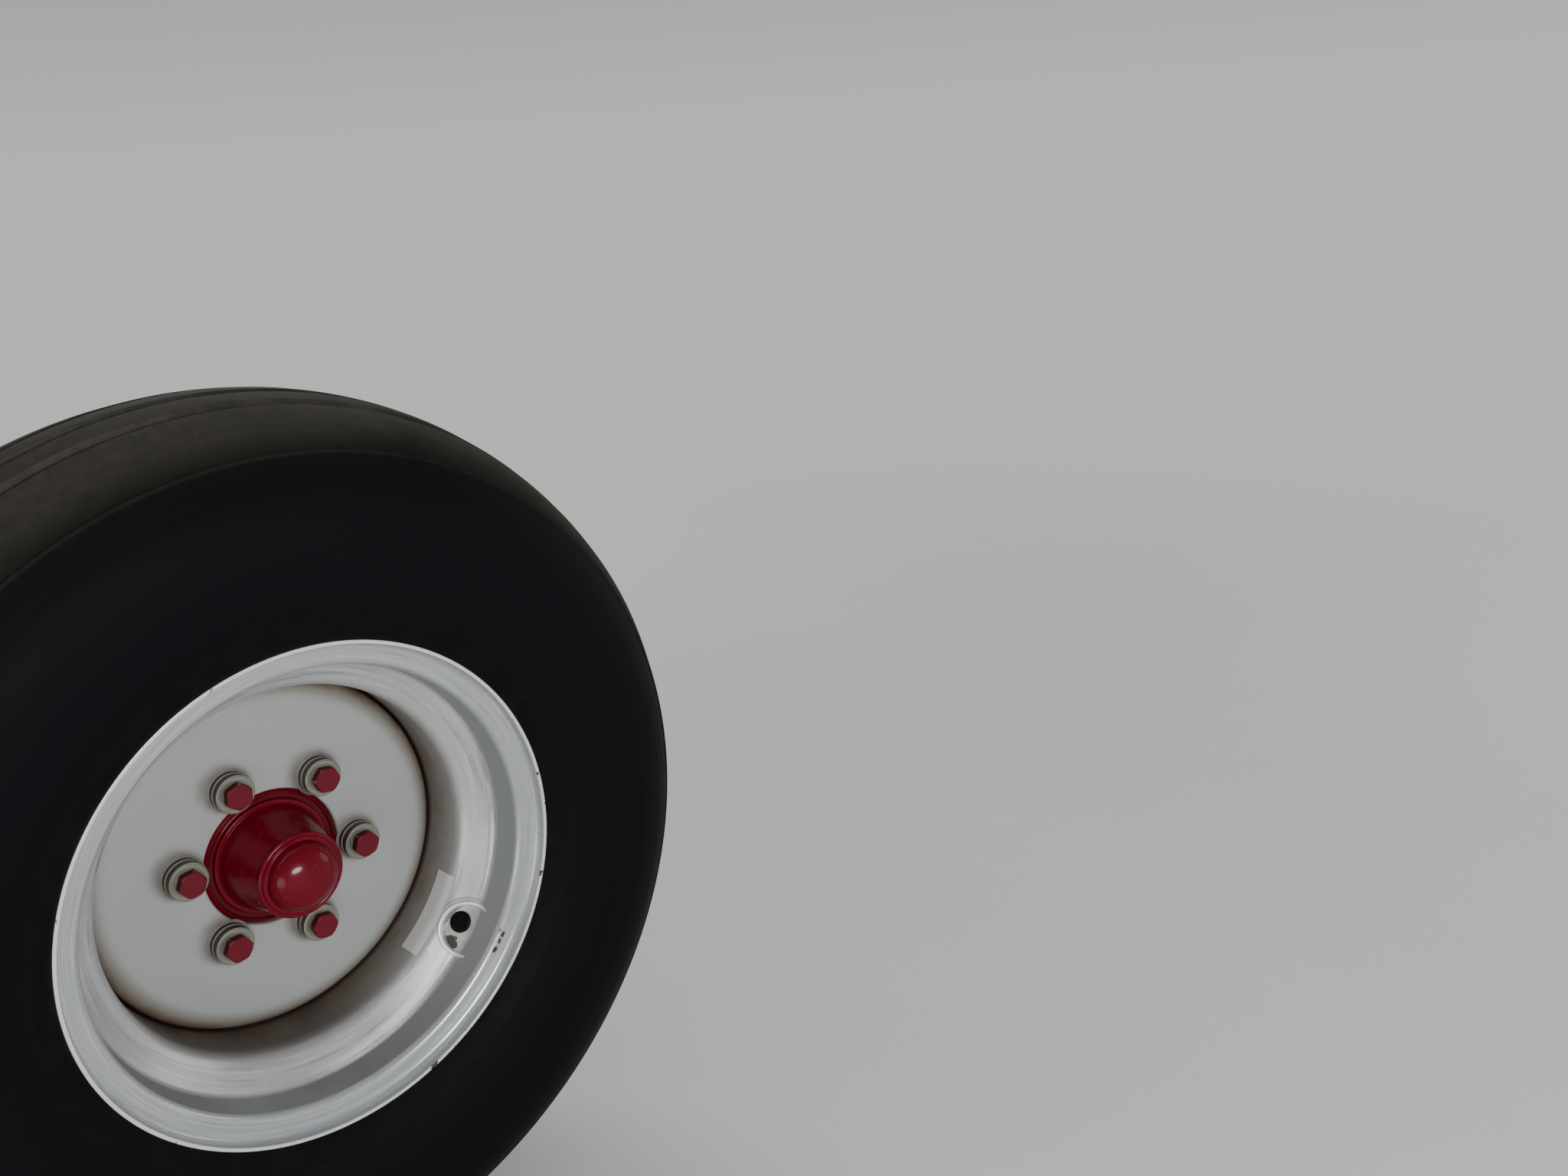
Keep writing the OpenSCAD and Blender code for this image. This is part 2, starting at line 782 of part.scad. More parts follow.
module tyre() {
    color(tyre_black)
        turned(concat(
            [for (p = tyre_half) [mid_depth + p.x, p.y]],
            [for (p = back_to_front(tyre_half)) if (p.x > 0) [mid_depth - p.x, p.y]]));
}

tyre();
rim();
wheel_disc();
disc_weld();
hub();
hub_cap();
grease_seal();
valve_plug();
valve_stem();
valve_cap();
for (i = [0:bolt_count - 1]) {
    wheel_bolt(i);
    cone_washer(i);
}
spindle();
spindle_flange();
flange_weld();
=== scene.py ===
import math
import random

import bmesh
import bpy
from mathutils import Matrix, Vector


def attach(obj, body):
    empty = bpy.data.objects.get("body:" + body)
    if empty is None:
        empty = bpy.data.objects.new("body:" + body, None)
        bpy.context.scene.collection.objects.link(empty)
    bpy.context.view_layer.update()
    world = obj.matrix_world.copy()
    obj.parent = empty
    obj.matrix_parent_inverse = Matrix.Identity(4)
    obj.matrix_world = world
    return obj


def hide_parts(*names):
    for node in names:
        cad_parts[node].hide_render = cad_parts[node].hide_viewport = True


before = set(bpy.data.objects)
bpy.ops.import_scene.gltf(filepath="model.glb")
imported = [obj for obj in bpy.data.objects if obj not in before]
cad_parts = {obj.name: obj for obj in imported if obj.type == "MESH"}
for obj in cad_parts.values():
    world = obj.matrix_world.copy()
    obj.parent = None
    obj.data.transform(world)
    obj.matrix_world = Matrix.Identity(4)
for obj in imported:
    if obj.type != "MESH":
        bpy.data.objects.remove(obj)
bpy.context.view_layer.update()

# Sizes in millimetres, the same as in part.scad. Depths count from the rim's cap-side edge.
MM = 0.001
MOUNT_DEPTH = 290.0
RIM_WIDTH = 232.2
MID_DEPTH = RIM_WIDTH / 2
SHEET = 3.0
HALF = SHEET / 2
BEAD_SEAT_R = 188.8
BEAD_FALL, BEAD_WIDTH = 2.8, 32.3
FLANGE_R = BEAD_SEAT_R + 19.5
WELL_R = BEAD_SEAT_R - 31.8
WALL_DEPTH = 14.5 - HALF
CURL_R = 8.5
HEEL_BEND, HUMP_BEND, WELL_BEND = 5.0, 8.5, 13.5
HUMP_DEPTH = WALL_DEPTH + BEAD_WIDTH
HUMP_R = BEAD_SEAT_R - HALF - BEAD_FALL
WELL_DEPTH = HUMP_DEPTH + 19.8
DISC_DEPTH = 102.5
DISC_T = 6.4
DISC_BEND = 21.0
BOLTS, BOLT_STEP, BOLT_ANGLE = 6, 60.0, -12.0
BOLT_CIRCLE_R = 76.2
PILOT_BORE_R = BOLT_CIRCLE_R - 16.8
SEAT_H = 1.0
WASHER_H = 12.7
HEAD_H, HEAD_AF = 7.8, 20.6
SHANK_R = 6.4
BOSS_DEPTH = 56.0
POCKET_R = 23.7
POCKET_TILT, POCKET_ANGLE = math.radians(60.0), -41.5
POCKET_OFFSET = 1.5
VALVE_OFFSET, VALVE_SHIFT = 11.4, 3.3
TYRE_R = 393.5


# Outlines
def turn_to(a, b):
    return (b - a).normalized()


def left_of(v):
    return Vector((-v.y, v.x))


def arc(centre, radius, start, sweep, step):
    """Points of an arc, angles in degrees."""
    n = max(2, math.ceil(abs(sweep) / step))
    return [centre + radius * Vector((math.cos(math.radians(start + sweep * i / n)),
                                      math.sin(math.radians(start + sweep * i / n))))
            for i in range(n + 1)]


def bend(a, b, c, radius, step):
    """Arc that rounds corner b between a and c."""
    u, w = turn_to(b, a), turn_to(b, c)
    half = u.angle(w) / 2
    centre = b + (u + w).normalized() * radius / math.sin(half)
    p = b + u * radius / math.tan(half) - centre
    q = b + w * radius / math.tan(half) - centre
    start = math.degrees(math.atan2(p.y, p.x))
    sweep = math.degrees(math.atan2(q.y, q.x)) - start
    sweep = (sweep + 180) % 360 - 180
    return arc(centre, radius, start, sweep, step)


def rounded(corners, step=9.0, span=None):
    """Line through corners (depth, radius, bend radius), straight runs cut into spans."""
    flat = [Vector(c[:2]) for c in corners]
    out = []
    for i, c in enumerate(corners):
        r = c[2] if len(c) > 2 else 0
        if r == 0 or i in (0, len(corners) - 1):
            pts = [flat[i]]
        else:
            pts = bend(flat[i - 1], flat[i], flat[i + 1], r, step)
        if out and span:
            gap = (pts[0] - out[-1]).length
            cuts = math.ceil(gap / span)
            out += [out[-1].lerp(pts[0], k / cuts) for k in range(1, cuts)]
        out += pts
    return out


def loop_rounded(corners, step=15.0):
    """Closed outline with every corner rounded by its own radius."""
    n = len(corners)
    flat = [Vector(c[:2]) for c in corners]
    out = []
    for i, c in enumerate(corners):
        r = c[2] if len(c) > 2 else 0
        if r == 0:
            out.append(flat[i])
        else:
            out += bend(flat[i - 1], flat[i], flat[(i + 1) % n], r, step)
    return out


def beside(line, by):
    """The line moved sideways, to its left for a positive distance."""
    out = []
    for i, p in enumerate(line):
        before = turn_to(line[i - 1], p) if i else None
        after = turn_to(p, line[i + 1]) if i < len(line) - 1 else None
        before = before or after
        after = after or before
        left = left_of((before + after).normalized())
        out.append(p + left * by / max(0.5, left.dot(left_of(before))))
    return out


# Meshes
def place(depth, radius, angle):
    """A vertex in metres in the row's frame."""
    a = math.radians(angle)
    return Vector((radius * math.cos(a), depth - MOUNT_DEPTH, radius * math.sin(a))) * MM


def link(name, data):
    """A new object in the scene."""
    obj = bpy.data.objects.new(name, data)
    bpy.context.scene.collection.objects.link(obj)
    return obj


def make(name, verts, faces, material, body, sharp=35.0, slot=None, replaces=()):
    """A piece, smooth except where its faces meet at more than a sharp angle."""
    mesh = bpy.data.meshes.new(name)
    mesh.from_pydata([tuple(v) for v in verts], [], faces)
    bm = bmesh.new()
    bm.from_mesh(mesh)
    bmesh.ops.recalc_face_normals(bm, faces=bm.faces)
    limit = math.radians(sharp)
    for f in bm.faces:
        f.smooth = True
    for e in bm.edges:
        e.smooth = len(e.link_faces) == 2 and e.calc_face_angle(0) < limit
    bm.to_mesh(mesh)
    bm.free()
    mesh.validate()
    mesh.materials.append(material)
    obj = link(name, mesh)
    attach(obj, body)
    if replaces:
        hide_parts(*replaces)


def ring_faces(rows, cols, closed_rows=True, first=0):
    """Quads between rows of cols vertices each, columns closed."""
    faces = []
    last = rows if closed_rows else rows - 1
    for r in range(last):
        a, b = first + r * cols, first + (r + 1) % rows * cols
        for c in range(cols):
            d = (c + 1) % cols
            faces.append((a + c, a + d, b + d, b + c))
    return faces


def fan(row, cols, tip):
    """Triangles from a row of vertices to one at its middle."""
    return [(row + c, row + (c + 1) % cols, tip) for c in range(cols)]


def turned(line, cols):
    """A line of (depth, radius) turned about the axle, as vertices in metres."""
    return [place(p[0], p[1], 360 * c / cols) for p in line for c in range(cols)]


def revolve(name, outline, material, cols, sharp, **more):
    """Closed outline of (depth, radius) turned about the axle, as a piece of the wheel."""
    make(name, turned(outline, cols), ring_faces(len(outline), cols), material, "wheel", sharp,
         **more)


def bolt_centre(i):
    """Where a bolt's axis meets the disc's face, in millimetres."""
    a = math.radians(BOLT_ANGLE + BOLT_STEP * i)
    return Vector((BOLT_CIRCLE_R * math.cos(a), DISC_DEPTH - MOUNT_DEPTH,
                   BOLT_CIRCLE_R * math.sin(a)))


def on_bolt(i, radius, height, turn):
    """A vertex in metres, its height over the disc's face, turned about a bolt by an angle."""
    return (bolt_centre(i)
            + Vector((radius * math.cos(turn), -height, radius * math.sin(turn)))) * MM


# Materials
class Paint:
    """Small helper that builds one node material. Lengths in it are in millimetres."""

    def __init__(self, name, specular=0.5):
        self.material = bpy.data.materials.new(name)
        self.material.use_nodes = True
        self.nodes = self.material.node_tree.nodes
        self.links = self.material.node_tree.links
        self.shader = self.nodes["Principled BSDF"]
        self.shader.inputs["Specular IOR Level"].default_value = specular
        self.coords = self.nodes.new("ShaderNodeTexCoord").outputs["Object"]
        self.base = None
        self.parts = None
        self.normal = None

    def put(self, socket, value):
        """Links a socket to another one, or sets it to a number or colour."""
        if isinstance(value, bpy.types.NodeSocket):
            self.links.new(value, socket)
        elif isinstance(value, tuple):
            socket.default_value = (*value, 1.0)
        elif value is not None:
            socket.default_value = value

    def math(self, operation, a, b=None, c=None):
        n = self.nodes.new("ShaderNodeMath")
        n.operation = operation
        for socket, value in zip(n.inputs, (a, b, c)):
            self.put(socket, value)
        return n.outputs[0]

    def plus(self, a, b):
        return self.math("ADD", a, b)

    def minus(self, a, b):
        return self.math("SUBTRACT", a, b)

    def times(self, first, *others):
        for other in others:
            first = self.math("MULTIPLY", first, other)
        return first

    def scaled(self, value, by, plus):
        return self.math("MULTIPLY_ADD", value, by, plus)

    def most(self, a, b):
        return self.math("MAXIMUM", a, b)

    def length(self, x, y):
        return self.math("SQRT", self.plus(self.times(x, x), self.times(y, y)))

    def split(self):
        s = self.nodes.new("ShaderNodeSeparateXYZ")
        self.put(s.inputs[0], self.coords)
        return s.outputs

    def place_parts(self):
        """Radius, depth and the angle in degrees."""
        if self.parts is None:
            x, y, z = self.split()
            radius = self.times(self.length(x, z), 1 / MM)
            depth = self.scaled(y, 1 / MM, MOUNT_DEPTH)
            self.parts = radius, depth, self.times(self.math("ARCTAN2", z, x), 180 / math.pi)
        return self.parts

    def polar(self, along, across):
        """Coordinates for streaks that run round the axle: slow along the angle."""
        radius, depth, angle = self.place_parts()
        turn = self.math("RADIANS", angle)
        v = self.nodes.new("ShaderNodeCombineXYZ")
        self.put(v.inputs[0], self.times(self.math("SINE", turn), along))
        self.put(v.inputs[1], self.times(self.math("COSINE", turn), along))
        self.put(v.inputs[2], self.times(self.plus(radius, depth), across))
        return v.outputs[0]

    def noise(self, scale, detail=4.0, rough=0.55, vector=None):
        n = self.nodes.new("ShaderNodeTexNoise")
        n.inputs["Scale"].default_value = scale
        n.inputs["Detail"].default_value = detail
        n.inputs["Roughness"].default_value = rough
        self.put(n.inputs["Vector"], vector or self.coords)
        return n.outputs["Fac"]

    def cells(self, scale):
        n = self.nodes.new("ShaderNodeTexVoronoi")
        n.inputs["Scale"].default_value = scale
        self.put(n.inputs["Vector"], self.coords)
        return n.outputs["Distance"]

    def steps(self, value, low, high):
        """0 below low and 1 above high, or the other way round when low is the larger."""
        n = self.nodes.new("ShaderNodeMapRange")
        n.interpolation_type = "SMOOTHSTEP"
        flip = low > high
        ends = (min(low, high), max(low, high), float(flip), float(not flip))
        for socket, number in zip(n.inputs[0:5], (value, *ends)):
            self.put(socket, number)
        return n.outputs["Result"]

    def band(self, value, low, high, soft):
        """1 from low to high, its edges softened."""
        return self.times(self.steps(value, low - soft, low + soft),
                          self.steps(value, high + soft, high - soft))

    def vector(self, operation, a, b, output):
        n = self.nodes.new("ShaderNodeVectorMath")
        n.operation = operation
        self.put(n.inputs[0], a)
        n.inputs[1].default_value = b
        return n.outputs[output]

    def away(self, centre):
        """Distance from a place."""
        return self.times(self.vector("DISTANCE", self.coords, Vector(centre) * MM, "Value"), 1 / MM)

    def along(self, origin, axis):
        """Distance from a place along a direction."""
        offset = self.vector("SUBTRACT", self.coords, Vector(origin) * MM, "Vector")
        return self.times(self.vector("DOT_PRODUCT", offset, axis, "Value"), 1 / MM)

    def spot(self, centre, size, soft):
        """1 within a size of a place, fading over soft."""
        return self.steps(self.away(centre), size + soft, size - soft)

    def from_bolt(self):
        """Distance from the axis of the nearest wheel bolt."""
        radius, depth, angle = self.place_parts()
        half = BOLT_STEP / 2
        turn = self.math("FLOORED_MODULO", self.plus(angle, half - BOLT_ANGLE), BOLT_STEP)
        turn = self.math("RADIANS", self.minus(turn, half))
        return self.length(self.minus(self.times(radius, self.math("COSINE", turn)), BOLT_CIRCLE_R),
                           self.times(radius, self.math("SINE", turn)))

    def mix(self, factor, a, b):
        n = self.nodes.new("ShaderNodeMix")
        n.data_type = "RGBA"
        for index, value in ((0, factor), (6, a), (7, b)):
            self.put(n.inputs[index], value)
        return n.outputs[2]

    def layer(self, colour, *factors):
        """Lays a colour over the base as far as the factors, multiplied, are high."""
        self.base = self.mix(self.times(*factors), self.base, colour)

    def bump(self, height, distance, strength):
        n = self.nodes.new("ShaderNodeBump")
        n.inputs["Strength"].default_value = strength
        n.inputs["Distance"].default_value = distance * MM
        self.put(n.inputs["Height"], height)
        self.put(n.inputs["Normal"], self.normal)
        self.normal = n.outputs["Normal"]

    def finish(self, roughness, metallic=0.0):
        """Joins what was made to the shader, and gives the material."""
        for socket, value in (("Base Color", self.base), ("Normal", self.normal),
                              ("Roughness", roughness), ("Metallic", metallic)):
            self.put(self.shader.inputs[socket], value)
        return self.material


def tyre_rubber():
    """Black rubber, olive towards the shoulder, partly a painted sheen, with dust there and fine
    dust in the tread.
    """
    p = Paint("tyre_rubber", specular=0.06)
    radius, depth, angle = p.place_parts()
    broad = p.noise(5, 5, 0.6)
    fine = p.noise(90, 5, 0.65)
    streak = p.noise(1, 4, 0.6, p.polar(9, 0.22))
    across = p.math("ABSOLUTE", p.minus(depth, MID_DEPTH))
    tread = p.steps(across, 122, 104)
    p.base = p.mix(broad, (0.0018, 0.0024, 0.0034), (0.0030, 0.0036, 0.0047))
    # Olive towards the shoulder, partly a painted sheen; the paler layer after it is dust
    p.layer((0.0125, 0.0115, 0.0080), p.steps(radius, 322, 388), p.steps(broad, 0.1, 0.7), 0.8)
    p.layer((0.075, 0.068, 0.054), p.steps(radius, 350, 384), p.steps(broad, 0.25, 0.6), 0.7)
    p.layer((0.010, 0.0098, 0.0095), p.steps(radius, 250, 212), p.steps(streak, 0.35, 0.75), 0.3)
    p.layer((0.018, 0.0168, 0.014), tread, p.steps(fine, 0.2, 0.8), 0.5)
    specks = p.steps(p.cells(260), 0.1, 0.04)
    p.layer((0.05, 0.05, 0.046), specks, p.steps(fine, 0.5, 0.62), 0.5)
    p.bump(streak, 0.2, 0.4)
    p.bump(fine, 0.1, 0.5)
    return p.finish(p.plus(p.scaled(broad, 0.14, 0.56), p.times(tread, 0.15)))


# Lengths in the materials are in millimetres, and angles in degrees
RUSTED_SEAM = (0.026, 0.009, 0.006)
SMUDGE_ON_FLOOR = (121.6, -235.5, -129.6)
# Rusty chips inside the flange: place and size
CHIPS = ((149.3, -277.4, -114.7, 0.5), (151.1, -278.5, -119.2, 0.9),
         (146.1, -278.5, -123.8, 1.2), (140, -278.5, -130.2, 1.6))


def silver():
    """Silver enamel of the rim, with dirt in the well and chips at the flange, and painted
    highlights and shade on its slope, seat, well and pocket.
    """
    p = Paint("rim_enamel")
    pocket = Pocket()
    radius, depth, angle = p.place_parts()
    inwards = p.math("MINIMUM", depth, p.minus(RIM_WIDTH, depth))
    broad = p.noise(7, 4, 0.6)
    fine = p.noise(160, 4, 0.6)
    mottle = p.noise(34, 5, 0.6)
    spots = p.noise(210, 3, 0.6)
    streak = p.noise(1, 5, 0.62, p.polar(5, 0.9))
    drag = p.noise(1, 3, 0.5, p.polar(2.2, 0.35))
    p.base = p.mix(streak, (0.29, 0.305, 0.318), (0.43, 0.445, 0.458))
    p.layer((0.33, 0.34, 0.335), p.steps(drag, 0.4, 0.7), 0.25)
    # The slope is painted pale as a painted highlight, palest at its foot under the axle
    slope = p.band(inwards, 43, 66, 1.5)
    p.layer((0.52, 0.53, 0.535), slope, 0.5)
    p.layer((0.80, 0.79, 0.80), p.band(inwards, 42, 50, 1.5), p.band(angle, -92, -66, 10), 0.8)
    # Pale streaks along the slope and the flange, painted as highlights, with darker brown lines
    # among them
    lines = p.noise(1, 4, 0.65, p.polar(1.6, 1.5))
    streak_zone = p.most(slope, p.steps(radius, 186, 190))
    p.layer((0.62, 0.625, 0.615), streak_zone, p.steps(lines, 0.52, 0.66), 0.6)
    p.layer((0.20, 0.195, 0.18), streak_zone, p.steps(lines, 0.44, 0.34), 0.6)
    # The bead seat is flatter in tone and darker than the bends on both sides of it: painted shade
    seat = p.band(inwards, 17, 41, 1.4)
    p.layer((0.235, 0.238, 0.25), seat, 0.6)
    # The well's floor is browner, and dirtiest against the disc
    floor = p.times(p.steps(inwards, 57, 70), p.steps(radius, 167, 159))
    floor_dirt = p.times(floor, p.steps(mottle, 0, 0.8))
    p.layer((0.245, 0.225, 0.203), floor, 0.75)
    # Painted shade: the floor darkened on its lower left, under the axle
    p.layer((0.068, 0.057, 0.049), p.band(angle, -152, -72, 22), p.steps(depth, 50, 80), 0.92)
    p.layer((0.125, 0.098, 0.075), floor_dirt, p.steps(depth, 62, 104), 0.9)
    seam = p.times(p.steps(depth, 107, 116), p.steps(depth, 134, 128), floor)
    p.layer(RUSTED_SEAM, seam)
    # Painted shade darkens the left of the seat and slope, and the lower half of the bead seat is
    # darker brown-grey in patches
    p.layer((0.20, 0.20, 0.20), p.band(angle, -178, -125, 10), p.band(inwards, 17, 56, 1.4), 0.4)
    p.layer((0.165, 0.15, 0.138), p.steps(angle, -20, -95), seat, p.steps(broad, 0.3, 0.62), 0.55)
    # Fold streaks at the foot of the slope
    p.layer((0.10, 0.085, 0.075), p.band(inwards, 42.5, 44.5, 0.7), p.steps(streak, 0.52, 0.64),
            p.steps(angle, -75, -55), 0.5)
    # The sheet's cut edge is painted pale, nearly bare metal and partly a painted highlight, with
    # dark nicks
    p.layer((0.74, 0.74, 0.73), p.steps(inwards, 1.6, 0.4), p.steps(radius, 203, 204.5), 0.8)
    nicks = p.times(p.steps(inwards, 2.4, 0.6), p.steps(radius, 203, 205),
                    p.steps(p.noise(95, 3, 0.6), 0.66, 0.69))
    p.layer((0.06, 0.045, 0.04), nicks)
    ragged = p.times(p.minus(spots, 0.5), 5)
    chips, halo = 0, 0
    for *centre, size in CHIPS:
        # Longer round the axle than across the sheet
        across = p.times(p.along(centre, pocket.y), 0.45)
        reach = p.plus(p.minus(p.away(centre), p.math("ABSOLUTE", across)), ragged)
        chips = p.most(p.steps(reach, size + 0.2, size - 0.2), chips)
        halo = p.most(p.steps(reach, size + 0.9, size + 0.5), halo)
    p.layer((0.26, 0.15, 0.13), halo, 0.6)
    p.layer((0.028, 0.010, 0.008), chips)
    # The pocket: lip and floor painted pale as painted highlights, the wall darker as painted shade,
    # a dark smudge on the floor, and painted shade in a brown band and a line over the lip
    px, py, pz = (p.along(pocket.origin, axis) for axis in (pocket.x, pocket.y, pocket.z))
    rho = p.length(p.plus(px, POCKET_OFFSET), py)
    here = p.times(p.band(pz, -1, 30, 0.5), p.steps(p.away(pocket.origin), 34, 33))
    floor_here = p.times(here, p.steps(pz, 1.9, 1), p.steps(rho, 23, 22))
    wall_here = p.times(here, p.band(rho, 20.6, LIP_MID - 1, 0.4), p.steps(pz, 0.3, 1.5),
                        p.steps(inwards, 45, 47))
    lip_here = p.times(here, p.band(rho, LIP_MID - 1.5, LIP_MID + 1.5, 0.3),
                       p.steps(inwards, 36.5, 37.5))
    p.layer((0.66, 0.645, 0.60), floor_here, 0.8)
    p.layer((0.30, 0.245, 0.20), floor_here, p.steps(mottle, 0.42, 0.66), 0.5)
    p.layer((0.24, 0.235, 0.225), wall_here, 0.5)
    p.layer((0.90, 0.885, 0.84), lip_here)
    dark_patch = p.plus(p.away(SMUDGE_ON_FLOOR), p.times(p.minus(p.noise(120, 3, 0.6), 0.5), 14))
    p.layer((0.060, 0.050, 0.045), floor_here, p.steps(dark_patch, 7.4, 6.2), 0.95)
    # Painted shade over the lip: a brown band and a dark line outside it
    over = p.times(here, p.steps(py, 8, 14), p.steps(inwards, 42, 46))
    p.layer((0.22, 0.17, 0.14), over, p.band(rho, LIP_MID + 1.5, 28.5, 0.8), 0.35)
    p.layer((0.10, 0.075, 0.06), over, p.band(rho, 28, 28.9, 0.35), 0.55)
    p.layer((0.16, 0.14, 0.12), p.steps(spots, 0.69, 0.73), p.steps(broad, 0.45, 0.6), 0.5)
    dull = p.scaled(mottle, 0.14, 0.20)
    dull = p.plus(dull, p.times(p.most(floor_dirt, seat), 0.22))
    p.bump(fine, 0.03, 0.5)
    p.bump(streak, 0.08, 0.5)
    p.bump(p.minus(1, p.most(chips, nicks)), 0.15, 0.8)
    return p.finish(p.plus(dull, p.times(p.most(chips, seam), 0.35)),
                    p.scaled(p.most(chips, p.most(seam, floor_dirt)), -0.3, 0.35))


def disc_paint():
    """Pale grey enamel of the disc, browner towards its turned edge and round the bolts, with a
    painted shadow to the upper left of each bolt.
    """
    p = Paint("disc_enamel", specular=0.4)
    radius, depth, angle = p.place_parts()
    broad = p.noise(9, 4, 0.6)
    fine = p.noise(170, 4, 0.6)
    mottle = p.noise(40, 5, 0.65)
    p.base = p.mix(broad, (0.265, 0.277, 0.274), (0.318, 0.329, 0.325))
    p.layer((0.15, 0.105, 0.065), p.steps(radius, 132, 154), p.scaled(mottle, 0.5, 0.6), 0.9)
    p.layer((0.115, 0.060, 0.030), p.steps(radius, 145, 154), p.steps(mottle, 0.35, 0.6), 0.6)
    seam = p.steps(radius, 152.6, 156)
    p.layer(RUSTED_SEAM, seam)
    p.layer((0.25, 0.20, 0.18), p.steps(radius, 68, 60), p.steps(mottle, 0.4, 0.7), 0.4)
    p.layer((0.12, 0.095, 0.075), p.steps(p.from_bolt(), 24, 17), p.scaled(mottle, 0.6, 0.45),
            0.85)
    # Painted shadow to the upper left of each washer
    for i in range(BOLTS):
        dark_patch = p.spot(bolt_centre(i) + Vector((-5, 0, 5)), 20, 6)
        p.layer((0.125, 0.102, 0.088), dark_patch, mottle, 1.3)
    dust = p.steps(p.noise(300, 2, 0.5), 0.66, 0.72)
    p.layer((0.22, 0.20, 0.18), dust, 0.3)
    p.bump(fine, 0.03, 0.5)
    p.bump(mottle, 0.05, 0.4)
    return p.finish(p.scaled(mottle, 0.15, 0.38), metallic=0.15)


def red_gloss():
    """Glossy dark red of hub, cap and flange."""
    p = Paint("hub_enamel", specular=0.08)
    broad = p.noise(12, 4, 0.6)
    fine = p.noise(220, 4, 0.6)
    p.base = p.mix(broad, (0.078, 0.0008, 0.0054), (0.134, 0.0016, 0.0090))
    radius, depth, angle = p.place_parts()
    # Painted shade in the channel between the collar and the pilot ring
    p.layer((0.035, 0.0005, 0.002), p.band(radius, 51, 55, 0.8), p.steps(depth, 103.5, 105),
            p.steps(depth, 110, 108), 0.6)
    p.layer((0.24, 0.12, 0.11), p.steps(p.noise(330, 3, 0.6), 0.6, 0.7),
            p.steps(broad, 0.4, 0.65), 0.2)
    p.shader.inputs["Coat Weight"].default_value = 0.24
    p.shader.inputs["Coat Roughness"].default_value = 0.08
    p.bump(broad, 0.25, 0.35)
    p.bump(p.noise(55, 3, 0.5), 0.22, 0.6)
    p.bump(fine, 0.02, 0.4)
    return p.finish(p.scaled(fine, 0.12, 0.22))


def red_matt():
    """Matt red of the bolt heads, worn pale at the corners."""
    p = Paint("bolt_enamel", specular=0.14)
    mottle = p.noise(110, 5, 0.6)
    patch = p.noise(240, 3, 0.6)
    p.base = p.mix(mottle, (0.078, 0.0046, 0.0108), (0.132, 0.0085, 0.0175))
    p.layer((0.05, 0.014, 0.014), p.steps(patch, 0.56, 0.7), 0.5)
    radius, depth, angle = p.place_parts()
    front = DISC_DEPTH - SEAT_H - WASHER_H - HEAD_H
    # Painted shade: the sides of each head darker behind its front face
    p.layer((0.028, 0.004, 0.005), p.steps(depth, front + 1.6, front + 3.2), 0.6)
    worn = p.times(p.steps(p.from_bolt(), 10.7, 11.3), p.steps(patch, 0.56, 0.62))
    p.layer((0.36, 0.17, 0.15), worn, 0.6)
    p.bump(mottle, 0.08, 0.6)
    return p.finish(p.scaled(mottle, 0.25, 0.4))


def zinc_plate():
    """Dull zinc of the washers, their sides brown with dirt and painted shade, with painted shadows
    and highlights on their faces.
    """
    p = Paint("zinc_plate")
    mottle = p.noise(120, 5, 0.65)
    broad = p.noise(30, 3, 0.6)
    out = p.from_bolt()
    radius, depth, angle = p.place_parts()
    front = DISC_DEPTH - SEAT_H - WASHER_H
    p.base = p.mix(mottle, (0.15, 0.148, 0.12), (0.29, 0.288, 0.24))
    # Painted shadow beside each head, on the side away from the label
    for i in range(BOLTS):
        head_shadow = p.spot(bolt_centre(i) + Vector((-6, front - DISC_DEPTH, 4)), 9.5, 3.5)
        p.layer((0.062, 0.060, 0.050), head_shadow, p.scaled(mottle, 0.7, 0.35))
    # Painted shade on each face, darkest next to the head
    p.layer((0.075, 0.075, 0.06), p.steps(out, 15, 11.5), p.scaled(mottle, 0.7, 0.4), 0.7)
    # Painted highlight along each washer's front edge
    edge_highlight = p.times(p.band(out, 15.7, 16.2, 0.15), p.steps(depth, 91, 90.4))
    p.layer((0.13, 0.128, 0.105), p.band(out, 14.6, 15.6, 0.4), 0.45)
    p.layer((0.42, 0.41, 0.35), edge_highlight, 0.5)
    p.layer((0.20, 0.165, 0.13), p.steps(broad, 0.5, 0.7), 0.5)
    # The sides darkened brown, by dirt and painted shade
    side = p.times(p.steps(out, 15.9, 16.15), p.steps(depth, 90, 90.6))
    p.layer((0.045, 0.037, 0.03), side, 0.85)
    # Painted highlight on the edge of each washer's foot
    p.layer((0.34, 0.34, 0.30), p.steps(out, 16.3, 16.6), p.band(depth, 96.6, 97.4, 0.25), 0.5)
    p.bump(mottle, 0.05, 0.5)
    return p.finish(p.scaled(mottle, 0.3, 0.34), metallic=0.4)


def bare_steel():
    """Turned bar with light rust and tool marks."""
    p = Paint("turned_steel")
    radius, depth, angle = p.place_parts()
    mottle = p.noise(60, 6, 0.65)
    lines = p.noise(1, 2, 0.5, p.polar(0.6, 6))
    p.base = p.mix(lines, (0.30, 0.30, 0.295), (0.40, 0.40, 0.39))
    rust = p.steps(mottle, 0.52, 0.68)
    p.layer((0.13, 0.055, 0.028), rust, 0.8)
    p.bump(lines, 0.04, 0.5)
    p.bump(rust, 0.06, 0.5)
    return p.finish(p.scaled(rust, 0.35, 0.3), p.scaled(rust, -0.7, 0.9))


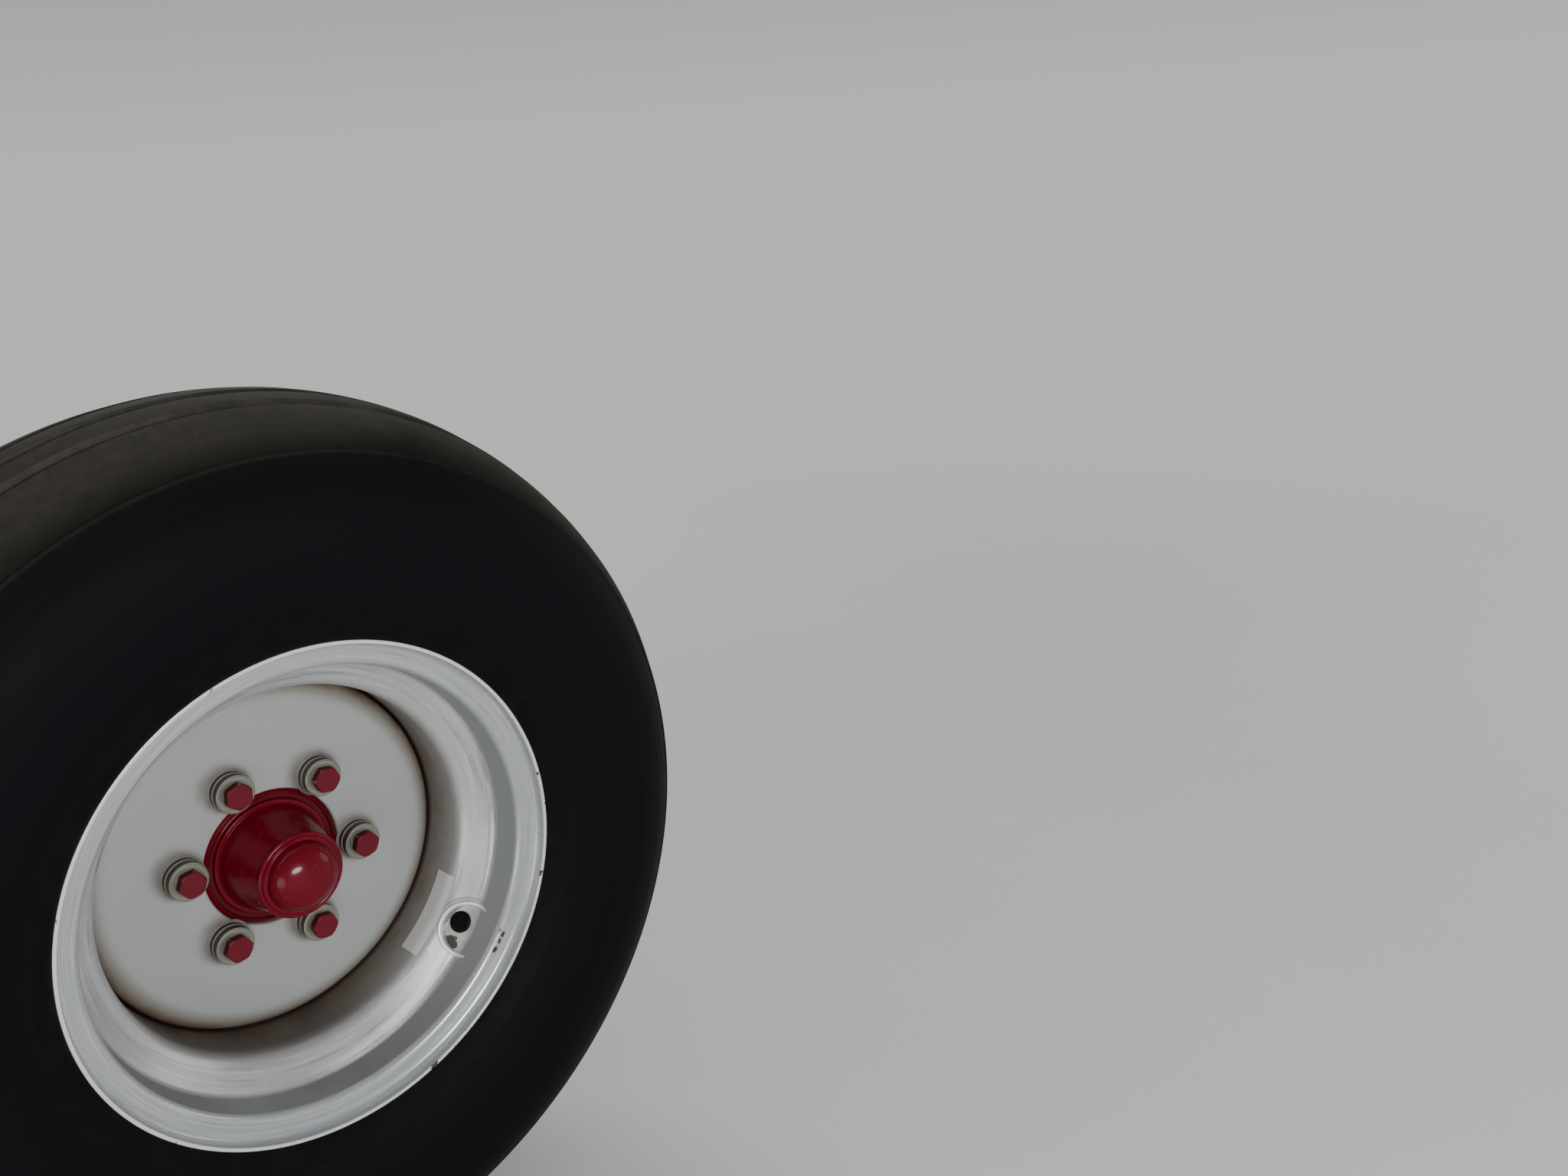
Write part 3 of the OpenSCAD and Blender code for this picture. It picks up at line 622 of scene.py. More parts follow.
def black_rubber():
    """Plain black rubber of seal, plug and valve."""
    p = Paint("black_rubber", specular=0.1)
    fine = p.noise(260, 4, 0.6)
    p.base = p.mix(fine, (0.0016, 0.0016, 0.002), (0.005, 0.005, 0.005))
    p.bump(fine, 0.04, 0.5)
    return p.finish(p.scaled(fine, 0.2, 0.38))


def label_white():
    """Blank plate, scuffed."""
    p = Paint("plate_white", specular=0.4)
    mottle = p.noise(70, 5, 0.65)
    scuff = p.steps(p.noise(1, 3, 0.6, p.polar(60, 0.9)), 0.55, 0.7)
    p.base = p.mix(mottle, (0.44, 0.435, 0.425), (0.57, 0.565, 0.555))
    p.layer((0.38, 0.37, 0.35), scuff, 0.35)
    p.bump(mottle, 0.03, 0.5)
    return p.finish(p.scaled(mottle, 0.2, 0.35))


def pale_floor():
    """Plain pale floor that fades into the studio's backdrop."""
    p = Paint("pale_floor", specular=0.2)
    p.base = p.mix(p.noise(1.3, 5, 0.6), (0.70, 0.70, 0.68), (0.78, 0.78, 0.76))
    p.bump(p.noise(60, 4, 0.6), 0.5, 0.3)
    x, y, z = p.split()
    clear = p.nodes.new("ShaderNodeBsdfTransparent")
    blend = p.nodes.new("ShaderNodeMixShader")
    fade = p.steps(p.length(x, y), FADE_FROM, FADE_TO)
    for k, socket in enumerate((fade, p.shader.outputs[0], clear.outputs[0])):
        p.put(blend.inputs[k], socket)
    p.put(p.nodes["Material Output"].inputs["Surface"], blend.outputs[0])
    return p.finish(0.8)


TYRE = tyre_rubber()
DISC = disc_paint()
RED = red_gloss()
BOLT = red_matt()
ZINC = zinc_plate()
STEEL = bare_steel()
RUBBER = black_rubber()
LABEL = label_white()


# Rim
half_corners = [
    (0, FLANGE_R - HALF, 0),
    (WALL_DEPTH, FLANGE_R - HALF, CURL_R),
    (WALL_DEPTH, BEAD_SEAT_R - HALF, HEEL_BEND),
    (HUMP_DEPTH, HUMP_R, HUMP_BEND),
    (WELL_DEPTH, WELL_R + HALF, WELL_BEND)]
rim_corners = half_corners + [(RIM_WIDTH - d, r, b) for d, r, b in reversed(half_corners)]
fine_line = rounded(rim_corners, step=6.0, span=6.0)
coarse_line = rounded(rim_corners, step=15.0)
air_face = beside(fine_line, -HALF)
tyre_face = beside(coarse_line, HALF)
EDGE_ROUND = 0.5


def edge_cap(line_end, outwards):
    """The rounded edge of the sheet at its end, from the air face to the tyre's side."""
    x, r = line_end
    lift = EDGE_ROUND * outwards
    return [Vector((x + dx, r + dr)) for dx, dr in (
        (lift, -HALF), (lift * 0.3, EDGE_ROUND * 0.3 - HALF), (0, EDGE_ROUND - HALF),
        (0, HALF - EDGE_ROUND), (lift * 0.3, HALF - EDGE_ROUND * 0.3), (lift, HALF))]


near_cap = edge_cap(fine_line[0], 1)
far_cap = edge_cap(fine_line[-1], -1)
rim_outline = (list(reversed(near_cap[:3])) + air_face[1:-1] + far_cap
               + list(reversed(tyre_face[1:-1])) + list(reversed(near_cap[3:])))
AIR_FIRST = 3
AIR_LAST = AIR_FIRST + len(air_face) - 3
TYRE_FIRST = AIR_LAST + 1 + len(far_cap)
TYRE_LAST = TYRE_FIRST + len(tyre_face) - 3

# The line where bead seat and slope would meet on the air face, if they weren't rounded
POCKET_EDGE = beside([Vector(c[:2]) for c in half_corners[2:]], -HALF)[1]


class Pocket:
    """Axes of a pocket: x towards the flange, y along the rim, z towards the axle."""

    def __init__(self, far=False):
        self.far = far
        a = math.radians(POCKET_ANGLE)
        out = Vector((math.cos(a), 0, math.sin(a)))
        axle = Vector((0, -1 if far else 1, 0))
        depth = self.from_edge(POCKET_EDGE.x)
        self.origin = out * POCKET_EDGE.y + Vector((0, depth - MOUNT_DEPTH, 0))
        self.x = math.cos(POCKET_TILT) * out - math.sin(POCKET_TILT) * axle
        self.y = Vector((-math.sin(a), 0, math.cos(a)))
        self.z = -(math.sin(POCKET_TILT) * out + math.cos(POCKET_TILT) * axle)

    def local(self, p):
        q = p - self.origin
        return q.dot(self.x), q.dot(self.y), q.dot(self.z)

    def world(self, x, y, z):
        return self.origin + x * self.x + y * self.y + z * self.z

    def from_edge(self, depth):
        """Depth behind the rim's edge on the pocket's own side."""
        return RIM_WIDTH - depth if self.far else depth


def smooth(t):
    """0 up to 0 and 1 from 1 on, with a soft rise between."""
    t = min(1.0, max(0.0, t))
    return t * t * (3 - 2 * t)


# The pocket's lip, which fades in behind a depth, and its wall
LIP_W, LIP_H, LIP_MID, LIP_FROM, LIP_FADE = 3.2, 2.0, POCKET_R - 0.2, 35.6, 1.6
WALL_W = 2.0
# Rise of the bead seat's radius for each millimetre towards the rim's edge
SEAT_TAPER = (POCKET_EDGE.y - (BEAD_SEAT_R - SHEET)) / (WALL_DEPTH - POCKET_EDGE.x)
# How softly the pocket's flat floor passes into the bead seat
FLOOR_BLEND = 0.8
# Depths and turn either way that a pocket's finer grid covers
PATCH_FROM, PATCH_TO, PATCH_TURN = 30.0, 82.0, 10.5


def seat_height(pocket, x, y, sheet):
    """Where the bead seat's cone, or its other side a sheet further out, passes over (x, y)."""
    z = 0.0
    for _ in range(5):
        # Each round closes most of what is left
        q = pocket.world(x, y, z)
        before = POCKET_EDGE.x - pocket.from_edge(q.y + MOUNT_DEPTH)
        seat_r = POCKET_EDGE.y + before * SEAT_TAPER + sheet
        z += math.hypot(q.x, q.z) - seat_r
    return z


def pressed(pocket, p, back):
    """A point of the rim's sheet, moved by the pocket, and by its lip on the air side."""
    x, y, z = pocket.local(p)
    rho = math.hypot(x + POCKET_OFFSET, y)
    sheet, wall_r = (SHEET, LIP_MID + SHEET) if back else (0.0, LIP_MID - LIP_W / 4)
    if rho > wall_r + LIP_W + 1 or z < -sheet - 2:
        return p
    over = seat_height(pocket, x, y, sheet) + sheet
    floor = (over + math.hypot(over, FLOOR_BLEND)) / 2 - sheet
    z_new = z + (floor - z) * smooth((wall_r - rho) / WALL_W)
    across = 2 * (rho - LIP_MID) / LIP_W
    if abs(across) < 1 and not back:
        fade = smooth((pocket.from_edge(p.y + MOUNT_DEPTH) - LIP_FROM) / LIP_FADE)
        z_new += LIP_H * fade * (1 - across ** 2) ** 0.6
    return p + (z_new - z) * pocket.z


def make_rim():
    cols = 360
    rows = len(rim_outline)
    verts = [v / MM for v in turned(rim_outline, cols)]

    def at(r, c):
        return r % rows * cols + c % cols

    skipped, extra, faces = set(), {}, []

    def patch(pocket, back, step, sub):
        """Replaces the faces round a pocket by a finer grid, pressed into shape.

        Step is its width along the sheet, and sub its columns for each of the rim's.
        """
        first, last = (TYRE_FIRST, TYRE_LAST) if back else (AIR_FIRST, AIR_LAST)
        highest = HUMP_R + (SHEET + 2 if back else 1)
        rows_in = [r for r in range(first, last + 1) if rim_outline[r].y < highest
                   and PATCH_FROM <= pocket.from_edge(rim_outline[r].x) <= PATCH_TO]
        r0, r1 = min(rows_in), max(rows_in)
        c0 = math.floor((POCKET_ANGLE - PATCH_TURN) * cols / 360)
        c1 = math.ceil((POCKET_ANGLE + PATCH_TURN) * cols / 360)
        line, corner = [], []
        for r in range(r0, r1):
            a, b = rim_outline[r], rim_outline[r + 1]
            n = max(1, math.ceil((b - a).length / step))
            corner.append(len(line))
            line += [a.lerp(b, k / n) for k in range(n)]
        corner.append(len(line))
        line.append(rim_outline[r1])
        row_of = {i: r0 + k for k, i in enumerate(corner)}
        high, wide = len(line) - 1, (c1 - c0) * sub
        grid = {}
        for i, p in enumerate(line):
            for j in range(wide + 1):
                edge = i in (0, high) or j in (0, wide)
                if edge and i in row_of and j % sub == 0:
                    grid[i, j] = at(row_of[i], c0 + j // sub)
                    continue
                q = place(p.x, p.y, 360 * (c0 + j / sub) / cols) / MM
                grid[i, j] = len(verts)
                verts.append(q if edge else pressed(pocket, q, back))
        for i in range(high):
            for j in range(wide):
                faces.append((grid[i, j], grid[i, j + 1], grid[i + 1, j + 1], grid[i + 1, j]))
        for r in range(r0, r1):
            i0, i1 = corner[r - r0], corner[r - r0 + 1]
            for c in range(c0, c1):
                skipped.add((r, c % cols))
            for j in (0, wide):
                extra[at(r, c0 + j // sub), at(r + 1, c0 + j // sub)] = [
                    grid[i, j] for i in range(i0 + 1, i1)]
        for c in range(c0, c1):
            for i, r in ((0, r0), (high, r1)):
                extra[at(r, c), at(r, c + 1)] = [
                    grid[i, (c - c0) * sub + k] for k in range(1, sub)]

    patch(Pocket(), False, 0.55, 6)
    patch(Pocket(), True, 1.0, 3)
    patch(Pocket(far=True), False, 0.8, 4)
    patch(Pocket(far=True), True, 1.2, 3)
    for r in range(rows):
        for c in range(cols):
            if (r, c) in skipped:
                continue
            ring = [at(r, c), at(r, c + 1), at(r + 1, c + 1), at(r + 1, c)]
            face = []
            for a, b in zip(ring, ring[1:] + ring[:1]):
                face.append(a)
                face += extra.get((a, b), [])
                face += reversed(extra.get((b, a), []))
            faces.append(tuple(face))
    make("rim_pressing", [v * MM for v in verts], faces, SILVER, "wheel", sharp=50.0,
         slot="rim_silver", replaces=("rim",))


SILVER = silver()
make_rim()


# Disc
SEAT_GAP = 0.2
SKIRT_FLAT = 16.0
skirt_end = DISC_DEPTH + DISC_BEND + SKIRT_FLAT
skirt_mid_r = WELL_R - SEAT_GAP - DISC_T / 2
disc_line = rounded([
    (DISC_DEPTH + DISC_T / 2, PILOT_BORE_R, 0),
    (DISC_DEPTH + DISC_T / 2, skirt_mid_r, DISC_BEND - DISC_T / 2),
    (skirt_end, skirt_mid_r, 0)], step=4.0, span=12.0)
disc_outline = ([Vector((DISC_DEPTH + 1, PILOT_BORE_R)), Vector((DISC_DEPTH, PILOT_BORE_R + 1))]
                + beside(disc_line, DISC_T / 2)[1:] + beside(disc_line, -DISC_T / 2)[::-1])
revolve("disc_pressing", disc_outline, DISC, 320, 30.0, slot="disc_grey",
        replaces=("wheel_disc",))


# Bolts, washers and coined seats, as (radius, height over the disc's face, bend radius)
NOSE_H, NOSE_R, WASHER_R, FOOT_R = 3.5, 12.3, 16.3, 16.9
WASHER_BORE = SHANK_R + 0.4
NOSE_TIP = SEAT_H - NOSE_H + 1
GROOVE_LOW = SEAT_H + 4.8
GROOVE_TOP = GROOVE_LOW + 1.5
GROOVE_R = WASHER_R - 1.4
CHAMFER = 1.2
HEAD_BASE = SEAT_H + WASHER_H
washer_outline = loop_rounded([
    (WASHER_BORE, NOSE_TIP),
    (NOSE_R - NOSE_H + 1, NOSE_TIP),
    (NOSE_R, SEAT_H),
    (FOOT_R, SEAT_H, 0.3),
    (FOOT_R, GROOVE_LOW, 0.5),
    (GROOVE_R, GROOVE_LOW, 0.2),
    (GROOVE_R, GROOVE_TOP, 0.2),
    (WASHER_R, GROOVE_TOP, 0.4),
    (WASHER_R, HEAD_BASE - CHAMFER, 0.5),
    (WASHER_R - CHAMFER, HEAD_BASE, 0.6),
    (WASHER_BORE, HEAD_BASE)])
COIN_BORE, COIN_FOOT_R, COIN_SUNK = 12.9, 18.9, -0.4
coin_outline = loop_rounded([
    (COIN_BORE, COIN_SUNK), (COIN_FOOT_R, COIN_SUNK), (18.5, 0.0, 0.3), (17.5, SEAT_H, 0.5),
    (COIN_BORE, SEAT_H)])

# How far each head is turned, in degrees
HEAD_TURNS = (36.0, 20.0, 50.0, 35.0, 32.0, 18.0)
HEAD_TOP = HEAD_BASE + HEAD_H
FACE_R = 0.47 * HEAD_AF
FOOT_BREAK, CORNER_BREAK = 0.3, 0.35
BOLT_END, TIP_CHAMFER = -DISC_T - 18, 0.8


def turned_on_bolt(name, i, outline, material, **more):
    cols = 64
    verts = [on_bolt(i, r, h, 2 * math.pi * c / cols) for r, h in outline for c in range(cols)]
    make(name, verts, ring_faces(len(outline), cols), material, "wheel", **more)


def hex_bolt(i):
    """Hex head with coned corners and broken edges, on its shank."""
    cols = 48
    turns = [2 * math.pi * c / cols for c in range(cols)]
    flat = HEAD_AF / 2
    corner = flat / math.cos(math.pi / 6) - CORNER_BREAK
    rows = [[(r, h)] * cols for r, h in ((SHANK_R - TIP_CHAMFER, BOLT_END),
                                         (SHANK_R, BOLT_END + TIP_CHAMFER), (SHANK_R, HEAD_BASE))]
    for h in [HEAD_BASE, HEAD_BASE + FOOT_BREAK] + [HEAD_TOP - 2.6 + 0.2 * k for k in range(14)]:
        cone = FACE_R + max(0.0, HEAD_TOP - h) * math.tan(math.radians(60))
        foot = FOOT_BREAK if h == HEAD_BASE else 0.0
        row = []
        for t in turns:
            off = (t + math.pi / 6) % (math.pi / 3) - math.pi / 6
            row.append((min(flat / math.cos(off), corner, cone) - foot, h))
        rows.append(row)
    rows += [[(r, HEAD_TOP)] * cols for r in (FACE_R - 0.5, 0.4 * FACE_R)]
    twist = math.radians(HEAD_TURNS[i])
    verts = [on_bolt(i, r, h, t + twist) for row in rows for (r, h), t in zip(row, turns)]
    faces = ring_faces(len(rows), cols, closed_rows=False)
    faces += [tuple(range(cols)), tuple(range(len(verts) - cols, len(verts)))]
    make(f"bolt_{i + 1}", verts, faces, BOLT, "wheel", sharp=24.0, slot="bolt_red",
         replaces=(f"wheel_bolt_{i + 1}",))


for i in range(BOLTS):
    hex_bolt(i)
    turned_on_bolt(f"washer_{i + 1}", i, washer_outline, ZINC, slot="zinc",
                   replaces=(f"cone_washer_{i + 1}",))
    turned_on_bolt(f"coined_seat_{i + 1}", i, coin_outline, DISC, slot="disc_grey")


# Hub and cap
PILOT_R = PILOT_BORE_R - 0.4
PILOT_FRONT = DISC_DEPTH + 1.5
PILOT_RIM = 3.0
BOSS_BASE_R = PILOT_R - 12.6
COLLAR_R = BOSS_BASE_R + 3.7
COLLAR_FRONT = PILOT_FRONT - 1.5
CHANNEL_R = PILOT_R - PILOT_RIM - 0.5
CHANNEL_DEPTH = PILOT_FRONT + 3.0
HUB_FLANGE_R, HUB_FLANGE_T = 92.0, 14
HUB_BACK = DISC_DEPTH + DISC_T
HUB_END, BARREL_R = 190, 50.0
SEAL_R, SEAL_DEPTH = 36.0, 180
REAR_BORE_R, REAR_BORE_END = 20.65, 158
FREE_BORE_R, FREE_BORE_END = 26.65, 97
FRONT_BORE_R, FRONT_BORE_END = 15.95, 89
MOUTH_R, MOUTH_DEPTH = 31.6, 67
hub_outline = loop_rounded([
    (BOSS_DEPTH, MOUTH_R),
    (BOSS_DEPTH, MOUTH_R + 4, 0.8),
    (PILOT_FRONT + 0.2, BOSS_BASE_R, 0.5),
    (COLLAR_FRONT, BOSS_BASE_R + 0.6, 0.4),
    (COLLAR_FRONT, COLLAR_R, 1.1),
    (CHANNEL_DEPTH, COLLAR_R, 1.6),
    (CHANNEL_DEPTH, CHANNEL_R, 1.6),
    (PILOT_FRONT, CHANNEL_R, 0.2),
    (PILOT_FRONT, PILOT_R - PILOT_RIM, 0.3),
    (PILOT_FRONT + PILOT_RIM, PILOT_R, 0.6),
    (HUB_BACK, PILOT_R),
    (HUB_BACK, HUB_FLANGE_R, 1.5),
    (HUB_BACK + HUB_FLANGE_T, HUB_FLANGE_R, 1.5),
    (HUB_BACK + HUB_FLANGE_T, BARREL_R + 8, 5.0),
    (HUB_BACK + HUB_FLANGE_T + 8, BARREL_R, 4.0),
    (HUB_END - 2, BARREL_R, 1.0),
    (HUB_END, BARREL_R - 2, 0.6),
    (HUB_END, SEAL_R),
    (SEAL_DEPTH, SEAL_R),
    (SEAL_DEPTH, REAR_BORE_R),
    (REAR_BORE_END, REAR_BORE_R),
    (REAR_BORE_END, FREE_BORE_R),
    (FREE_BORE_END, FREE_BORE_R),
    (FRONT_BORE_END, FRONT_BORE_R),
    (MOUTH_DEPTH, FRONT_BORE_R),
    (MOUTH_DEPTH, MOUTH_R)], step=12.0)
revolve("hub_casting", hub_outline, RED, 256, 40.0, slot="hub_red", replaces=("hub",))

BEAD_H, BEAD_R, DOME_R, CAP_T = 4.6, 37.0, 29.5, 1.6
CAP_BORE_R, CAP_PRESSED_R, CAP_END = 29.8, 31.4, BOSS_DEPTH + 9
DOME_DEPTH = BOSS_DEPTH - BEAD_H - 1
DOME_H = 24 - BEAD_H - 1
SWAGE_DEPTH = DOME_DEPTH + 2.0


def dome(inside, turns):
    """Points of the dome at angles from its tip, some way inside its outer face."""
    return [Vector((DOME_DEPTH - (DOME_H - inside) * math.cos(math.radians(t)),
                    (DOME_R - inside) * math.sin(math.radians(t)))) for t in turns]


def make_cap():
    cols = 192
    bead = arc(Vector((BOSS_DEPTH - BEAD_H / 2, BEAD_R - BEAD_H / 2)), BEAD_H / 2, 0, 180, 12)
    swage = rounded([(BOSS_DEPTH - BEAD_H, BEAD_R - BEAD_H / 2, 0),
                     (SWAGE_DEPTH, BEAD_R - BEAD_H + 0.6, 0.8),
                     (SWAGE_DEPTH, DOME_R + 0.3, 1.2),
                     (DOME_DEPTH - 0.1, DOME_R, 0)], step=15.0)
    outer = ([(CAP_END, CAP_BORE_R), (CAP_END, CAP_PRESSED_R), (BOSS_DEPTH, CAP_PRESSED_R)]
             + bead + swage[1:-1] + dome(0, range(90, 4, -5)))
    inner = dome(CAP_T, range(10, 91, 10))
    verts = (turned(outer, cols) + [place(DOME_DEPTH - DOME_H, 0, 0)]
             + turned(inner, cols) + [place(DOME_DEPTH - DOME_H + CAP_T, 0, 0)])
    tip = len(outer) * cols
    inner_tip = len(verts) - 1
    last = inner_tip - cols
    faces = ring_faces(len(outer), cols, closed_rows=False) + fan(tip - cols, cols, tip)
    faces += ring_faces(len(inner), cols, closed_rows=False, first=tip + 1)
    faces += fan(tip + 1, cols, inner_tip)
    faces += [(last + c, last + (c + 1) % cols, (c + 1) % cols, c) for c in range(cols)]
    make("cap_pressing", verts, faces, RED, "wheel", sharp=40.0, slot="hub_red",
         replaces=("hub_cap",))


make_cap()


# Valve plug in the near pocket
def make_plug():
    pocket = Pocket()
    near_axis = 0.001
    plug = loop_rounded([(near_axis, -8.0), (5.9, -8.0), (8.8, -4.0, 0.5), (8.8, -SHEET),
                         (7.9, -SHEET), (7.9, 0.0), (9.8, 0.0), (9.8, 1.4, 0.5),
                         (8.0, 2.2, 1.0), (near_axis, 2.4)], step=20)
    cols = 72
    verts = []
    for r, h in plug:
        for c in range(cols):
            t = 2 * math.pi * c / cols
            verts.append(pocket.world(r * math.cos(t) - VALVE_OFFSET,
                                      r * math.sin(t) + VALVE_SHIFT, h) * MM)
    make("plug", verts, ring_faces(len(plug), cols), RUBBER, "wheel", slot="black_rubber",
         replaces=("valve_plug",))


make_plug()


# Blank plate on the well's floor
PLATE_MID, PLATE_HALF = 74.6, 10.7
PLATE_ANGLE, PLATE_TURN = -41.5, 13.9
PLATE_T, PLATE_LIFT, PLATE_CORNER = 0.35, 0.02, 0.4


def floor_r(depth):
    """Radius of the rim's air face at a depth inside the well."""
    for a, b in zip(air_face, air_face[1:]):
        if a.x <= depth < b.x:
            return a.y + (b.y - a.y) * (depth - a.x) / (b.x - a.x)


def make_plate():
    n, m = 49, 9
    half = math.radians(PLATE_TURN) * WELL_R
    verts, faces = [], []
    for lift in (PLATE_T, PLATE_LIFT):
        for i in range(n):
            x = half * (2 * i / (n - 1) - 1)
            cut = max(0.0, PLATE_CORNER - (half - abs(x)))
            room = PLATE_HALF - PLATE_CORNER + math.sqrt(max(0.0, PLATE_CORNER ** 2 - cut ** 2))
            for j in range(m):
                across = PLATE_HALF * (2 * j / (m - 1) - 1)
                depth = PLATE_MID + max(-room, min(room, across))
                verts.append(place(depth, floor_r(depth) - lift,
                                   PLATE_ANGLE + math.degrees(x / WELL_R)))
    under = n * m
    for i in range(n - 1):
        for j in range(m - 1):
            a = i * m + j
            faces += [(a, a + 1, a + m + 1, a + m),
                      (under + a + m, under + a + m + 1, under + a + 1, under + a)]
    ring = (list(range(m)) + [i * m + m - 1 for i in range(1, n)]
            + [(n - 1) * m + j for j in range(m - 2, -1, -1)]
            + [i * m for i in range(n - 2, 0, -1)])
    for a, b in zip(ring, ring[1:] + ring[:1]):
        faces.append((a, b, b + under, a + under))
    make("blank_plate", verts, faces, LABEL, "wheel", sharp=40.0)


make_plate()


# Tyre, its half outline as (distance from its middle plane, radius)
TREAD_HALF, CROWN_DROP = 86.0, 20.2
GROOVES, GROOVE_DEPTH, GROOVE_HALF, GROOVE_FLOOR = (16.0, 50.0), 10.0, 5.5, 4.3
CREASE = Vector((112.0, TYRE_R - 39.0))
HALF_SECTION, WIDEST_R = 140.0, 285.0
WALL_T, CROWN_T = 9, 18
RIM_GAP = 0.3
LIP_R = FLANGE_R + RIM_GAP
upper_centre = 0.72 * CREASE.x
upper_start = math.degrees(math.acos((CREASE.x - upper_centre) / (HALF_SECTION - upper_centre)))
upper_rise = (CREASE.y - WIDEST_R) / math.sin(math.radians(upper_start))
lower_centre = 0.86 * MID_DEPTH
lower_end = math.degrees(math.acos((MID_DEPTH - lower_centre) / (HALF_SECTION - lower_centre)))
lower_drop = (WIDEST_R - LIP_R) / math.sin(math.radians(lower_end))


def crown_at(x):
    return TYRE_R - CROWN_DROP * (x / TREAD_HALF) ** 2


def seat_at(x):
    """Radius of the tyre's foot on the rim's bead seat."""
    return BEAD_SEAT_R + RIM_GAP - BEAD_FALL * (MID_DEPTH - WALL_DEPTH - x) / BEAD_WIDTH


def oval(centre, sx, sy, start, end, steps):
    """Points of an oval round a centre, with half widths sx and sy, between two angles."""
    turns = [math.radians(start + (end - start) * i / steps) for i in range(steps + 1)]
    return [Vector((centre[0] + sx * math.cos(t), centre[1] + sy * math.sin(t))) for t in turns]


def walls(inside, upper_from, upper_steps, lower_steps):
    """The sidewall's upper and lower ovals, some way inside its outer face."""
    return (oval((upper_centre, WIDEST_R), HALF_SECTION - upper_centre - inside,
                 upper_rise - inside, upper_start, upper_from, upper_steps),
            oval((lower_centre, WIDEST_R), HALF_SECTION - lower_centre - inside,
                 inside - lower_drop, 0, lower_end, lower_steps))


def half_tyre():
    """From the crown down the outside, round the bead, and up the inside to the crown."""
    corners = [(0.0, TYRE_R, 0)]
    for g in GROOVES:
        floor = crown_at(g) - GROOVE_DEPTH
        near, far = g - GROOVE_HALF, g + GROOVE_HALF
        corners += [(near, crown_at(near), 0.9), (g - GROOVE_FLOOR, floor, 2.0),
                    (g + GROOVE_FLOOR, floor, 2.0), (far, crown_at(far), 0.9)]
    corners += [(70.0, crown_at(70.0), 0), (TREAD_HALF, crown_at(TREAD_HALF), 2.2)]
    mid = (Vector((TREAD_HALF, crown_at(TREAD_HALF))) + CREASE) / 2
    corners += [(mid.x, mid.y + 0.9, 0), (CREASE.x - 2.2, CREASE.y + 1.9, 0)]
    line = rounded(corners, step=15.0)
    # A fine moulded ridge along the crease
    line += [CREASE + Vector(v) for v in ((-1.3, 2.1), (-0.4, 1.9), (0.4, 1.0), (0.5, -0.2),
                                          (0.6, -1.2))]
    upper, lower = walls(0, 0, 30, 26)
    for p in upper[2:]:
        # Shallow ring steps of the mould at two radii
        step = 0.5 * smooth((334 - p.y) / 2.0) - 0.5 * smooth((300 - p.y) / 2.0)
        line.append(Vector((p.x - 0.5 + step * 0.9, p.y)))
    for p in lower[1:]:
        ridge = 0.9 * math.exp(-((p.y - 226.0) / 1.6) ** 2)
        fade = smooth((p.y - LIP_R) / 25.0)
        line.append(Vector((p.x - 0.5 * fade + ridge, p.y)))
    curl_x, curl_r = MID_DEPTH - WALL_DEPTH + CURL_R, CURL_R + HALF + RIM_GAP
    line += oval((curl_x, FLANGE_R - HALF - CURL_R), -curl_r, curl_r, 90, 0, 5)
    heel_x, toe_x = curl_x - curl_r, MID_DEPTH - HUMP_DEPTH + 4
    line += [Vector((heel_x, BEAD_SEAT_R + 5)), Vector((heel_x - 5, seat_at(heel_x - 5))),
             Vector((toe_x, seat_at(toe_x))), Vector((toe_x + 1, seat_at(toe_x) + 16))]
    upper, lower = walls(WALL_T, upper_start / 4, 3, 4)
    line += lower[::-1] + upper[::-1]
    return line + [Vector((x, crown_at(x) - CROWN_T)) for x in (68, 50, 0)]


half = half_tyre()
tyre_line = ([Vector((MID_DEPTH + p.x, p.y)) for p in half]
             + [Vector((MID_DEPTH - p.x, p.y)) for p in reversed(half) if p.x > 1e-6])


def make_tyre():
    cols, bars = 320, 6
    verts = []
    for p in tyre_line:
        x = abs(p.x - MID_DEPTH)
        for c in range(cols):
            angle, r = 360 * c / cols, p.y
            for g in GROOVES:
                # Tie bars stand on the grooves' floors
                if abs(x - g) < GROOVE_FLOOR + 0.1 and abs(r - crown_at(g) + GROOVE_DEPTH) < 1.5:
                    off = abs((angle + g) % (360 / bars) - 180 / bars)
                    r += 2.6 * smooth((2.2 - off) / 0.9)
            verts.append(place(p.x, r, angle))
    make("tyre_body", verts, ring_faces(len(tyre_line), cols), TYRE, "wheel", sharp=38.0,
         slot="tyre_rubber", replaces=("tyre",))


make_tyre()


# Weld beads
SPINDLE_R, SPINDLE_FLANGE_T = 25.4, 12.7


